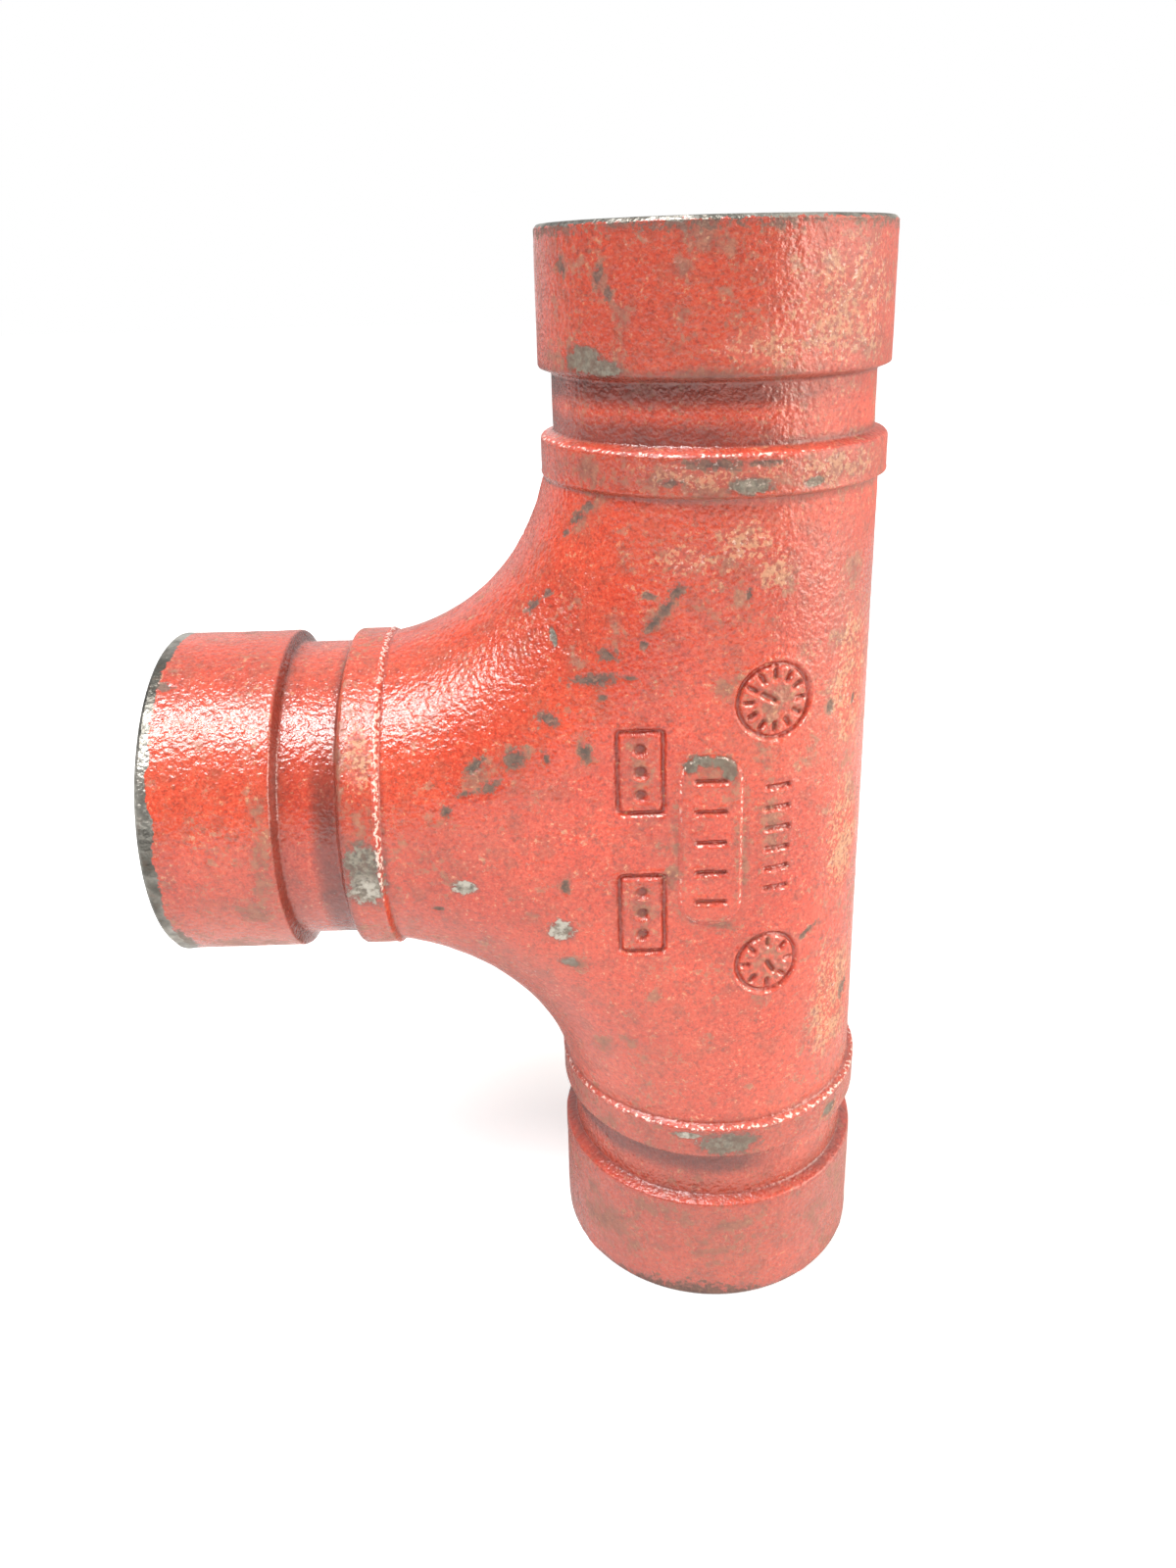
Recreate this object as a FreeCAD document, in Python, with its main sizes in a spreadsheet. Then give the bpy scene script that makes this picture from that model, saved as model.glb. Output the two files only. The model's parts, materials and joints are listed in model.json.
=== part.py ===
import FreeCAD, Part
import math
import os
import Sketcher

# Grooved pipe tee, cast in one piece, in millimetres.
# The run stands along Z and the branch points along -X. The origin is where the two axes meet.
# Each of the three ends has a seat for the gasket, a groove for the coupling and a raised ring behind it.
# In both crotches the body sweeps from the run into the branch, with flat cheeks between the sweeps.
# The waterway turns into the branch through two bores at 45 degrees, one in each crotch.

SIZES = [
    ("run_reach", 69.85, "centre to each end face of the run"),
    ("branch_reach", 69.85, "centre to the end face of the branch"),
    ("pipe_diameter", 42.16, "outside diameter at the gasket seats, that of the pipe it joins"),
    ("seat_width", 15.88, "end face to the near wall of the groove"),
    ("groove_width", 7.95, "width of the groove at the pipe diameter"),
    ("groove_depth", 1.59, "depth of the groove below the pipe diameter"),
    ("groove_flank", 0.6, "how far each groove wall leans in"),
    ("ring_width", 5.0, "width of the raised ring behind the groove, as large as the seat"),
    ("ring_lean", 0.6, "how far the ring's face towards the body leans back"),
    ("body_drop", 0.9, "how far the body lies below the pipe radius"),
    ("wall", 4.0, "wall of the body, from outside to the bore in each limb"),
    ("bore_depth", 35.0, "length of the bore in each limb, from the end face"),
    ("core_drop", 0.4, "how much smaller the middle of the waterway is than the bores, in radius"),
    ("crotch_radius", 26.5, "radius of the outside sweep between run and branch"),
    ("sweep_drop", 0.05, "how much smaller the sweeps' tube is than the limbs, in radius"),
    ("cheek_trim", 8.0, "how far the flat cheeks stop short of where the sweeps begin"),
    ("rim_bevel", 0.5, "bevel round the outside of each end face"),
]

PIPE_RADIUS = "(sizes.pipe_diameter / 2)"
GROOVE_RADIUS = "(sizes.pipe_diameter / 2 - sizes.groove_depth)"
CUTTER_RADIUS = "(sizes.pipe_diameter / 2 + sizes.groove_depth)"
BODY_RADIUS = "(sizes.pipe_diameter / 2 - sizes.body_drop)"
BORE_RADIUS = f"({BODY_RADIUS} - sizes.wall)"
CORE_RADIUS = f"({BORE_RADIUS} - sizes.core_drop)"
SWEEP_RADIUS = f"({BODY_RADIUS} - sizes.sweep_drop)"
SWEEP_CENTRE = f"(sizes.crotch_radius + {BODY_RADIUS})"
CHEEK_END = f"({SWEEP_CENTRE} - sizes.cheek_trim)"
TURN_REACH = f"({SWEEP_CENTRE} * (2 - sqrt(2)))"

NODE = "tee_body"
RUN_REACH = "sizes.run_reach"
BRANCH_REACH = "sizes.branch_reach"
UP = FreeCAD.Vector(0, 0, 1)
DOWN = FreeCAD.Vector(0, 0, -1)
OUT = FreeCAD.Vector(-1, 0, 0)
QUARTER_TURN = 90
FULL_TURN = 360
MATCH = 0.001

# How a sketch numbers its own axes, its origin and the points of a line or an arc
ACROSS_AXIS = -1
UP_AXIS = -2
ORIGIN = (-1, 1)
START = 1
END = 2
MIDDLE = 3


def make_sheet(document):
    sheet = document.addObject("Spreadsheet::Sheet", "sizes")
    for row, (alias, value, meaning) in enumerate(SIZES, start=1):
        sheet.set(f"A{row}", meaning)
        sheet.set(f"B{row}", str(value))
        sheet.setAlias(f"B{row}", alias)
    document.recompute()
    return sheet


def make_sketch(body, name, plane="XZ_Plane"):
    sketch = body.newObject("Sketcher::SketchObject", name)
    support = next(item for item in body.Origin.OriginFeatures if item.Role == plane)
    sketch.AttachmentSupport = [(support, "")]
    sketch.MapMode = "FlatFace"
    return sketch


def worth(sketch, expression):
    return float(sketch.evalExpression(expression))


def bind(sketch, constraint, expression):
    index = sketch.addConstraint(constraint)
    sketch.setExpression(f"Constraints[{index}]", expression)


def join(sketch, first, first_end, second, second_end):
    sketch.addConstraint(Sketcher.Constraint("Coincident", first, first_end, second, second_end))


def pin_point(sketch, item, end, across, up):
    """Hold one end of a sketch item at two expressions, or on an axis where one of them is 0."""
    if across == "0":
        sketch.addConstraint(Sketcher.Constraint("PointOnObject", item, end, UP_AXIS))
    else:
        value = worth(sketch, across)
        bind(sketch, Sketcher.Constraint("DistanceX", *ORIGIN, item, end, value), across)
    if up == "0":
        sketch.addConstraint(Sketcher.Constraint("PointOnObject", item, end, ACROSS_AXIS))
    else:
        value = worth(sketch, up)
        bind(sketch, Sketcher.Constraint("DistanceY", *ORIGIN, item, end, value), up)


def draw_outline(sketch, corners):
    """Draw a closed outline of straight lines through corners given as pairs of expressions."""
    points = [FreeCAD.Vector(worth(sketch, across), worth(sketch, up), 0) for across, up in corners]
    followers = points[1:] + points[:1]
    lines = [
        sketch.addGeometry(Part.LineSegment(point, follower))
        for point, follower in zip(points, followers)
    ]
    for line, next_line in zip(lines, lines[1:] + lines[:1]):
        join(sketch, line, END, next_line, START)
    for line, (across, up) in zip(lines, corners):
        pin_point(sketch, line, START, across, up)


def turn(body, kind, name, sketch, axis="V_Axis", angle=FULL_TURN, reverse=False):
    """Revolve a sketch about one of its axes: kind is Revolution to add, or Groove to cut."""
    feature = body.newObject(f"PartDesign::{kind}", name)
    feature.Profile = sketch
    feature.ReferenceAxis = (sketch, [axis])
    feature.Angle = angle
    feature.Reversed = reverse
    return feature


def on_branch(corners):
    """Turn a limb's half section from the run's upper end to the branch."""
    return [(f"-({along})", radius) for radius, along in corners]


def on_lower_limb(corners):
    return [(radius, f"-({along})") for radius, along in corners]


def limb_profile(reach):
    """Half section of one limb without its groove, as (radius, distance from the centre)."""
    ring_far = f"({reach} - sizes.seat_width - sizes.groove_width)"
    ring_near = f"({ring_far} - sizes.ring_width)"
    return [
        (BODY_RADIUS, ring_near),
        (PIPE_RADIUS, f"({ring_near} + sizes.ring_lean)"),
        (PIPE_RADIUS, reach),
        ("0", reach),
    ]


def groove_profile(reach):
    """Section of the groove's cutter, as (radius, distance from the centre)."""
    outer = f"({reach} - sizes.seat_width)"
    inner = f"({outer} - sizes.groove_width)"
    return [
        (CUTTER_RADIUS, inner),
        (PIPE_RADIUS, inner),
        (GROOVE_RADIUS, f"({inner} + sizes.groove_flank)"),
        (GROOVE_RADIUS, f"({outer} - sizes.groove_flank)"),
        (PIPE_RADIUS, outer),
        (CUTTER_RADIUS, outer),
    ]


def bore_profile(reach):
    """Half section of the bore in one limb, as (radius, distance from the centre)."""
    start = f"({reach} - sizes.bore_depth)"
    return [
        ("0", start),
        (BORE_RADIUS, start),
        (BORE_RADIUS, reach),
        ("0", reach),
    ]


def add_limbs(body):
    upper = limb_profile(RUN_REACH)
    run = make_sketch(body, "run_profile")
    draw_outline(run, upper + list(reversed(on_lower_limb(upper))))
    turn(body, "Revolution", "run_limb", run)
    branch = make_sketch(body, "branch_profile")
    draw_outline(branch, [("0", "0"), ("0", BODY_RADIUS)] + on_branch(limb_profile(BRANCH_REACH)))
    turn(body, "Revolution", "branch_limb", branch, "H_Axis")


def add_sweep(body, name, side):
    """Half a ring, swept a quarter turn from the run into the branch: side is 1 for the upper one."""
    sketch = make_sketch(body, f"{name}_section", "XY_Plane")
    sign = "" if side > 0 else "-"
    sketch.setExpression("AttachmentOffset.Base.z", f"{sign}{SWEEP_CENTRE}")
    radius = worth(sketch, SWEEP_RADIUS)
    centre = worth(sketch, SWEEP_CENTRE)
    axis = sketch.addGeometry(Part.LineSegment(
        FreeCAD.Vector(-centre, -radius, 0), FreeCAD.Vector(-centre, radius, 0)
    ), True)
    pin_point(sketch, axis, START, f"-{SWEEP_CENTRE}", f"-{SWEEP_RADIUS}")
    pin_point(sketch, axis, END, f"-{SWEEP_CENTRE}", SWEEP_RADIUS)
    ring = Part.Circle(FreeCAD.Vector(0, 0, 0), FreeCAD.Vector(0, 0, 1), radius)
    arc = sketch.addGeometry(Part.ArcOfCircle(ring, math.pi / 2, 3 * math.pi / 2))
    back = sketch.addGeometry(
        Part.LineSegment(FreeCAD.Vector(0, -radius, 0), FreeCAD.Vector(0, radius, 0))
    )
    join(sketch, arc, MIDDLE, *ORIGIN)
    join(sketch, arc, END, back, START)
    join(sketch, arc, START, back, END)
    for end in (START, END):
        sketch.addConstraint(Sketcher.Constraint("PointOnObject", back, end, UP_AXIS))
    bind(sketch, Sketcher.Constraint("Radius", arc, radius), SWEEP_RADIUS)
    return turn(body, "Revolution", name, sketch, "Axis0", QUARTER_TURN, side < 0)


def arc_between(side, centre, start, finish):
    """The centre line of one sweep, anticlockwise from start to finish."""
    middle = FreeCAD.Vector(-centre, side * centre, 0)
    ring = Part.Circle(middle, FreeCAD.Vector(0, 0, 1), centre)
    return Part.ArcOfCircle(ring, ring.parameter(start), ring.parameter(finish))


def draw_cheeks(body):
    """The flat field between the run's axis and the centre lines of the two sweeps."""
    sketch = make_sketch(body, "cheeks_field")
    centre = worth(sketch, SWEEP_CENTRE)
    end = worth(sketch, CHEEK_END)
    drift = centre - (centre ** 2 - (centre - end) ** 2) ** 0.5
    corners = [
        FreeCAD.Vector(0, -end, 0),
        FreeCAD.Vector(0, end, 0),
        FreeCAD.Vector(-drift, end, 0),
        FreeCAD.Vector(-end, drift, 0),
        FreeCAD.Vector(-end, -drift, 0),
        FreeCAD.Vector(-drift, -end, 0),
    ]
    run_side = sketch.addGeometry(Part.LineSegment(corners[0], corners[1]))
    top = sketch.addGeometry(Part.LineSegment(corners[1], corners[2]))
    upper = sketch.addGeometry(arc_between(1, centre, corners[3], corners[2]))
    branch_side = sketch.addGeometry(Part.LineSegment(corners[3], corners[4]))
    lower = sketch.addGeometry(arc_between(-1, centre, corners[5], corners[4]))
    bottom = sketch.addGeometry(Part.LineSegment(corners[5], corners[0]))
    join(sketch, run_side, END, top, START)
    join(sketch, top, END, upper, END)
    join(sketch, upper, START, branch_side, START)
    join(sketch, branch_side, END, lower, END)
    join(sketch, lower, START, bottom, START)
    join(sketch, bottom, END, run_side, START)
    pin_point(sketch, run_side, START, "0", f"-{CHEEK_END}")
    pin_point(sketch, run_side, END, "0", CHEEK_END)
    for item in (top, bottom):
        sketch.addConstraint(Sketcher.Constraint("Horizontal", item))
    sketch.addConstraint(Sketcher.Constraint("Vertical", branch_side))
    pin_across = Sketcher.Constraint("DistanceX", *ORIGIN, branch_side, START, -end)
    bind(sketch, pin_across, f"-{CHEEK_END}")
    for arc, sign in ((upper, ""), (lower, "-")):
        pin_point(sketch, arc, MIDDLE, f"-{SWEEP_CENTRE}", f"{sign}{SWEEP_CENTRE}")
        bind(sketch, Sketcher.Constraint("Radius", arc, centre), SWEEP_CENTRE)
    return sketch


def add_cheeks(body):
    """Fill the flat cheeks between the limbs, front and back."""
    feature = body.newObject("PartDesign::Pad", "cheeks")
    feature.Profile = draw_cheeks(body)
    feature.SideType = "Symmetric"
    feature.setExpression("Length", f"2 * {SWEEP_RADIUS}")
    return feature


def cut_each_limb(body, name, profile):
    """Cut the same section round the axis of all three limbs."""
    upper = profile(RUN_REACH)
    sections = (
        ("upper", upper, "V_Axis"),
        ("lower", on_lower_limb(upper), "V_Axis"),
        ("branch", on_branch(profile(BRANCH_REACH)), "H_Axis"),
    )
    for limb, corners, axis in sections:
        sketch = make_sketch(body, f"{limb}_{name}_section")
        draw_outline(sketch, corners)
        turn(body, "Groove", f"{limb}_{name}", sketch, axis)


def cut_core(body):
    """The middle of the waterway, along the run and out towards the branch."""
    run_end = f"({RUN_REACH} - sizes.bore_depth)"
    branch_end = f"({BRANCH_REACH} - sizes.bore_depth)"
    half_section = [("0", run_end), (CORE_RADIUS, run_end)]
    run = make_sketch(body, "run_core_section")
    draw_outline(run, half_section + list(reversed(on_lower_limb(half_section))))
    turn(body, "Groove", "run_core", run)
    branch = make_sketch(body, "branch_core_section")
    draw_outline(branch, on_branch([
        ("0", "0"),
        ("0", branch_end),
        (CORE_RADIUS, branch_end),
        (CORE_RADIUS, "0"),
    ]))
    turn(body, "Groove", "branch_core", branch, "H_Axis")


def cut_turning_bore(body, name, side):
    """A bore at 45 degrees that rounds off one inner crotch: side is 1 for the upper one."""
    sketch = make_sketch(body, f"{name}_section")
    sign = "" if side > 0 else "-"
    leg = f"({CORE_RADIUS} / sqrt(2))"
    draw_outline(sketch, [
        ("0", f"{sign}{TURN_REACH}"),
        (f"-{TURN_REACH}", "0"),
        (f"-({TURN_REACH} + {leg})", f"{sign}{leg}"),
        (f"-{leg}", f"{sign}({TURN_REACH} + {leg})"),
    ])
    slanted = sketch.Geometry[0]
    axis = sketch.addGeometry(Part.LineSegment(slanted.StartPoint, slanted.EndPoint), True)
    join(sketch, axis, START, 0, START)
    join(sketch, axis, END, 0, END)
    return turn(body, "Groove", name, sketch, "Axis0")


def cut_inner_cheeks(body):
    """Flat walls between the bores, so that the waterway has no ridge where they meet."""
    sketch = make_sketch(body, "inner_cheeks_field")
    draw_outline(sketch, [
        ("0", f"-{TURN_REACH}"),
        ("0", TURN_REACH),
        (f"-{TURN_REACH}", "0"),
    ])
    feature = body.newObject("PartDesign::Pocket", "inner_cheeks")
    feature.Profile = sketch
    feature.SideType = "Symmetric"
    feature.setExpression("Length", f"2 * {CORE_RADIUS}")
    return feature


def cut_waterway(body):
    cut_core(body)
    cut_turning_bore(body, "upper_turning_bore", 1)
    cut_turning_bore(body, "lower_turning_bore", -1)
    cut_inner_cheeks(body)
    cut_each_limb(body, "bore", bore_profile)


def circles_at(shape, centre, radius):
    """Names of the circular edges with a given centre and radius."""
    names = []
    for number, edge in enumerate(shape.Edges, start=1):
        curve = edge.Curve
        if not isinstance(curve, Part.Circle):
            continue
        if curve.Center.distanceToPoint(centre) < MATCH and abs(curve.Radius - radius) < MATCH:
            names.append(f"Edge{number}")
    return names


def bevel_rims(body):
    """Bevel the outside of the three end faces."""
    body.Document.recompute()
    base = body.Tip
    radius = worth(base, PIPE_RADIUS)
    names = []
    for direction, reach in ((UP, RUN_REACH), (DOWN, RUN_REACH), (OUT, BRANCH_REACH)):
        found = circles_at(base.Shape, direction * worth(base, reach), radius)
        if not found:
            raise RuntimeError(f"no rim found towards {direction}")
        names += found
    feature = body.newObject("PartDesign::Chamfer", "rim_bevels")
    feature.Base = (base, names)
    feature.setExpression("Size", "sizes.rim_bevel")
    return feature


def make_tee(document):
    body = document.addObject("PartDesign::Body", NODE)
    body.Label = NODE
    add_limbs(body)
    add_sweep(body, "upper_sweep", 1)
    add_sweep(body, "lower_sweep", -1)
    add_cheeks(body)
    cut_each_limb(body, "groove", groove_profile)
    cut_waterway(body)
    bevel_rims(body)
    document.recompute()
    return body


def check_document(document, body):
    """Stop before anything is written if a feature failed or took away or added nothing."""
    for item in document.Objects:
        if "Invalid" in item.State or "Error" in item.State:
            raise RuntimeError(f"{item.Name} failed: {item.State}")
    features = [item for item in body.Group if item.isDerivedFrom("PartDesign::Feature")]
    for before, after in zip(features, features[1:]):
        change = after.Shape.Volume - before.Shape.Volume
        print(f"{after.Name}: {change:+.1f} cubic mm")
        if abs(change) < MATCH:
            raise RuntimeError(f"{after.Name} changed nothing")


def check_shape(shape):
    if shape.isNull() or not shape.isValid() or len(shape.Solids) != 1:
        raise RuntimeError("the tee is not one valid solid")


def main():
    document = FreeCAD.newDocument("grooved_tee")
    make_sheet(document)
    body = make_tee(document)
    check_document(document, body)
    check_shape(body.Shape)
    os.makedirs("parts", exist_ok=True)
    body.Shape.exportStep(f"parts/{body.Label}.step")
    print(f"{body.Label}: {body.Shape.Volume:.1f} cubic mm, {len(body.Shape.Faces)} faces")


main()
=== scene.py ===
import json
import math
import bmesh
import bpy
import numpy as np
from mathutils import Matrix, Vector


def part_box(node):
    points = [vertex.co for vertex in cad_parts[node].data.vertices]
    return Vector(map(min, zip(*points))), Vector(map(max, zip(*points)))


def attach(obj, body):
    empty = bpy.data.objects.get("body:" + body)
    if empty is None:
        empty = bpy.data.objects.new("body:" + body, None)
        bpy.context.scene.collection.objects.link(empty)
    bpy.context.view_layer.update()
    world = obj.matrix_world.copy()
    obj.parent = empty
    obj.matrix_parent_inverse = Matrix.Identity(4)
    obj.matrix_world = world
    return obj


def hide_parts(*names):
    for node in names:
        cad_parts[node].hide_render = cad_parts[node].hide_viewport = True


# A cast iron pipe tee with grooved ends, painted red, worn and dusty.
# Sizes and places are in millimetres, in the frame's axes, and turn into metres where meshes are made.

MM = 0.001
NODE = "tee_body"
BODY = "root"

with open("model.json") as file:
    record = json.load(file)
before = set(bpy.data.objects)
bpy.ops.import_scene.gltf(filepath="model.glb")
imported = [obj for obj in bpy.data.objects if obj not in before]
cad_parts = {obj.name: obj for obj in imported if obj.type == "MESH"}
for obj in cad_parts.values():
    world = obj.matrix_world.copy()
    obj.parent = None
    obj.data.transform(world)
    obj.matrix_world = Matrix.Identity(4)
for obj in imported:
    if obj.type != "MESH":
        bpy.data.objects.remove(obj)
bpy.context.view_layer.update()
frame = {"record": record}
mounts = {mount["name"]: mount for mount in frame["record"]["mounts"]}
low_corner, high_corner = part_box(NODE)

# Sizes that the frame gives
RUN_REACH = high_corner.z / MM
BRANCH_REACH = -low_corner.x / MM
PIPE = mounts["upper_seat"]["dims"]["r_mm"]
BORE = mounts["upper_bore"]["dims"]["r_mm"]
BORE_DEPTH = mounts["upper_bore"]["dims"]["length_mm"]

# Sizes of the casting's form
BODY_RADIUS = PIPE - 0.9
GROOVE = PIPE - 1.59
CORE = BORE - 0.4
SEAT_WIDTH = 15.88
GROOVE_WIDTH = 7.95
GROOVE_FLANK = 0.6
RING_WIDTH = 5.0
RING_RISE = 0.6
CROTCH_RADIUS = 26.5
SWEEP_CENTRE = CROTCH_RADIUS + BODY_RADIUS
RIM_BEVEL = 0.5
MOUTH_BEVEL = 0.4

# Rounding of the edges, as radii in section
RING_CORNER = 0.7
GROOVE_ROOT = 0.4
COLLAR_CORNER = 0.5
RIM_CORNER = 0.3

# Mesh density
FRONT_COLUMNS = 48
BACK_COLUMNS = 28
JUNCTION_ROWS = 46
INNER_ROWS = 12
BORE_ROWS = 6
RISE_ROWS = 5
BEAD_ROWS = (0, 0.12, 0.24, 0.4)
BEAD_END = 0.6
ROW_STEP = 0.8
ARC_STEP = math.radians(13)
WELD = 0.01 * MM
SEAM_ANGLE_COS = math.sqrt(0.5)
CORE_WIDENS_FROM = 0.75

# Distances from the centre along a limb, counted back from its end face
GROOVE_FROM_END = SEAT_WIDTH + GROOVE_WIDTH
RING_FOOT_FROM_END = GROOVE_FROM_END + RING_WIDTH
FOOT_MARGIN = 0.00001

# The order of values that differ between the limbs: above, below and on the branch
ABOVE = 0
BELOW = 1
BRANCH = 2

# The foundry's plain marks on the front, laid out as (distance from the run's front line, height)
MARKS_REACH = 31.0
MARKS_LEFT = -16.0
MARKS_MARGIN = 0.95
FINE_CUTS = 3
CHIP_MARGIN = 0.35
SMALL_CHIP = 1.4
MARK_DEPTH = 0.45
MARK_LIP = 0.13
MARK_HALF_WIDTH = 0.42
STROKE_STEP = 0.1
UPPER_DIAL = (5.5, 17.5)
UPPER_DIAL_RADIUS = 4.5
UPPER_DIAL_TICKS = 12
UPPER_POINTER = math.radians(150)
LOWER_DIAL = (5.4, -17.4)
LOWER_DIAL_RADIUS = 4.0
LOWER_DIAL_TICKS = 8
LOWER_POINTER = math.radians(-60)
DIAL_TICK_OUTER = 0.82
DIAL_TICK_INNER = 0.62
DIAL_POINTER = 0.4
UPPER_FRAME = (-10.3, 9.2)
LOWER_FRAME = (-10.3, -9.6)
FRAME_HALF = (2.7, 5.2)
FRAME_CORNER = 0.5
FRAME_PIP = 0.45
FRAME_PIP_GAP = 2.9
PAD_CENTRE = (-2.0, 0.0)
PAD_HALF = (3.6, 11.0)
PAD_CORNER = 3.0
PAD_RISE = 0.36
PAD_SLOPE = 0.25
PAD_BARS = 5
PAD_BAR_GAP = 4.0
PAD_BAR_HALF = 1.7
RIB_COUNT = 6
RIB_TOP = 6.6
RIB_GAP = 2.7
RIB_LEFT = 4.8
RIB_RIGHT = 7.6

# Noises of the surface: strength, size of the lumps in mm, seed, and number of sizes if not 3
BARE_LUMPS = (2, 5.0, 31)
SOILED_LUMPS = (2, 4.0, 151)
FOOT_LUMPS = (0.6, 6.0, 161)
TOP_LUMPS = (0.6, 5.0, 165)
RIM_LUMPS = (0.4, 4.0, 41)
GROOVE_LUMPS = (0.4, 7.0, 61)
DUST_LUMPS = ((0.35, 9.0, 71), (0.2, 2.6, 81))
SPECKLE_LUMPS = (1, 12.0, 91)
HAZE_LUMPS = (0.25, 14.0, 141)
DARK_STROKE_LUMPS = (0.12, 0.9, 171, 1)
STROKE_LUMPS = (0.07, 0.9, 171, 1)
SEAM_LUMPS = (0.3, 6.0, 101)
CHIP_LUMPS = (0.25, 1.6, 111)
CAST_SKIN = ((0.07, 15.0, 1), (0.045, 4.5, 11), (0.03, 1.5, 21, 1))
WATERWAY_SKIN = ((0.12, 8.0, 121), (0.06, 2.5, 131))

# Numbers that mix a lattice cell and a seed into a repeatable value
HASH_FACTORS = (73856093, 19349663, 83492791)
HASH_SEED_FACTOR = 2654435761
HASH_ROUNDS = ((13, 1274126177), (15, 668265263))
HASH_MASK = 0x7FFFFFFF

# Chips on the hidden sides: noise above the level is one, and none reaches the other level
HIDDEN_LEVEL = 1.0
NEVER = 10.0

# Dirt at the two ends of the run: how far back from the end face, and half the width of its soft edge
END_DIRT = (0.9, 0.8)
TOP_DIRT_SPARSE = 0.4

# Widths of the worn rims of the end faces above, below and on the branch
RIM_WIDTHS = (0.5, 0.15, 1.9)
RIM_SOFT = 0.8

# Soft lines round the limbs: distance from the end face, half width, strength, and the shares of it
# above, below and on the branch
ALL_LIMBS = (1, 1, 1)
NEAR_ROOT = GROOVE_FROM_END - GROOVE_FLANK
FAR_ROOT = SEAT_WIDTH + GROOVE_FLANK
# Painted shade, with dirt, in the roots of the grooves and at the ring's foot
SHADED_CREASES = (
    (RING_FOOT_FROM_END - 0.05, 0.25, 0.6, ALL_LIMBS),
    (GROOVE_FROM_END - 0.8, 0.35, 1, (1, 0, 0)),
    (NEAR_ROOT, 0.5, 1, (0, 1, 1)),
    (FAR_ROOT, 0.5, 0.8, ALL_LIMBS),
    (SEAT_WIDTH + 0.35, 0.6, 1.5, (0.5, 0, 0.9)),
)
# Painted shade in the grooves beside the rings, with dirt
NEAR_SHADES = (
    (NEAR_ROOT - 0.9, 2.4, 1.5, (1, 0, 0)),
    (NEAR_ROOT - 1.7, 2.4, 1.5, (0, 1, 0)),
    (NEAR_ROOT - 0.9, 2.4, 2.2, (0, 0, 1)),
)
# Painted shadow of the collars on the grooves
FAR_SHADES = ((SEAT_WIDTH + 1.5, 2.3, 1.6, ALL_LIMBS),)
DUSTY_CORNERS = ((NEAR_ROOT, 1.6, 1, ALL_LIMBS), (FAR_ROOT, 1.4, 1, ALL_LIMBS))
DUSTY_RIM = ((0.8, 1.6, 1, ALL_LIMBS),)

# Darkening in the grooves and on the limbs: painted shade where the collars and rings shade the grooves,
# and the limbs past the ring's foot, the run's grooves and the top made darker. A fade is where something
# starts, where it is full, and how full if not 1.
LIMB_DARKENING = (0.36, 0.36, 0.1)
LIMB_DARKENING_SOFT = 0.5
GROOVE_DARKENING = 0.16
TOP_DARKENING_FADE = (10, 30, GROOVE_DARKENING)
BRANCH_SHADE_FADE = (20, 0)
RUN_SHADE_FADE = (12, -2)
UPPER_SHADE_FADE = (0.4, 0.7, 0.8)
FAR_SHADE_LOSS = (-2, 14, 0.75)
FAR_SHADE_LOWER = 0.25

# Edges that are rubbed clean and carry painted highlight specks, as distance from the end face and half
# width, and their fades
RING_EDGE = (RING_FOOT_FROM_END - RING_RISE + 0.1, 0.7)
UPPER_EDGE = (GROOVE_FROM_END, 0.5)
COLLAR_EDGE = (SEAT_WIDTH + 0.2, 0.9)
BRANCH_EDGE_FADE = (-14, 0, 1.4)
UPPER_EDGE_LEAST = 0.64
UPPER_EDGE_FADE = (12, 2, 0.36)
COLLAR_EDGE_MOST = 0.55
STROKE_EDGE_BASE = 0.25
STROKE_EDGE_LEAN = 1.2
STROKE_EDGE_HALF = 0.32
PAD_EDGE_HALF = 0.35
EDGE_STRENGTH = 1.5
EDGE_MOST = 2

# Dust, as shares of a full cover
GROOVE_DUST = 0.45
COLLAR_DUST = (0.4, 0.47, 0.4)
BODY_DUST = 0.28
RING_DUST = 0.46
RIGHT_DUST = (6, 17, 0.05)
CHIP_DUST_LESS = 0.1
PATCH_DUST = 0.42
STAIN_DUST = 0.55
SPECKLED_DUST = 0.32
PAD_DUST_BAND = (0.5, 1.2)
MARKS_DUST = 0.22
PAD_DUST = 0.35
RIM_DUST = 0.75
EDGE_DUST_LOSS = 0.6

# Bright iron, ochre specks, dull paint, and a pale film with a painted reflection of the floor
BRIGHT_CONTRAST = 2
SPECKLE_CONTRAST = 1.8
SPECKLE_LEVEL = 0.35
MATTE_OUT = (3, 10)
MATTE_UP = (26, 40)
HAZE_BASE = 0.02
# Painted reflection of the white floor on faces turned down, and paler towards the bottom
PAINTED_FLOOR_REFLECTION = (0.1, 0.9, 0.5)
PALER_TOWARDS_BOTTOM = (0, -60, 0.25)
EDGE_HAZE_LOSS = 0.8

# Painted shade and shape of the cut strokes, as shares of their half width; the shade is darkest under
# their upper edges
DARK_STROKE_CORE = 0.2
DARK_STROKE_END = 0.95
STROKE_SHADE = 0.32
STROKE_CORE = 0.3
LIP_BAND = (MARK_HALF_WIDTH * 1.5, MARK_HALF_WIDTH * 0.7)

# Relief of the casting, in mm. Near the end faces the skin, the waterway and the chips fade out.
SKIN_DEPTH = 0.07
SKIN_FREE = (0.2, 2.0)
WATERWAY_FREE = (0.5, 4.0)
SEAM_HEIGHT = 0.22
SEAM_WIDTH = 0.5
SEAM_LEAST = 0.7
SEAM_END = (-0.6, 0.4)
CHIP_WALL = (0, 0.25, 0.09)
CHIP_FREE = (0, 0.6)
BEAD_HEIGHT = 0.07
BEAD_BAND = (RING_FOOT_FROM_END - RING_RISE - 0.1, 0.3)

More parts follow.
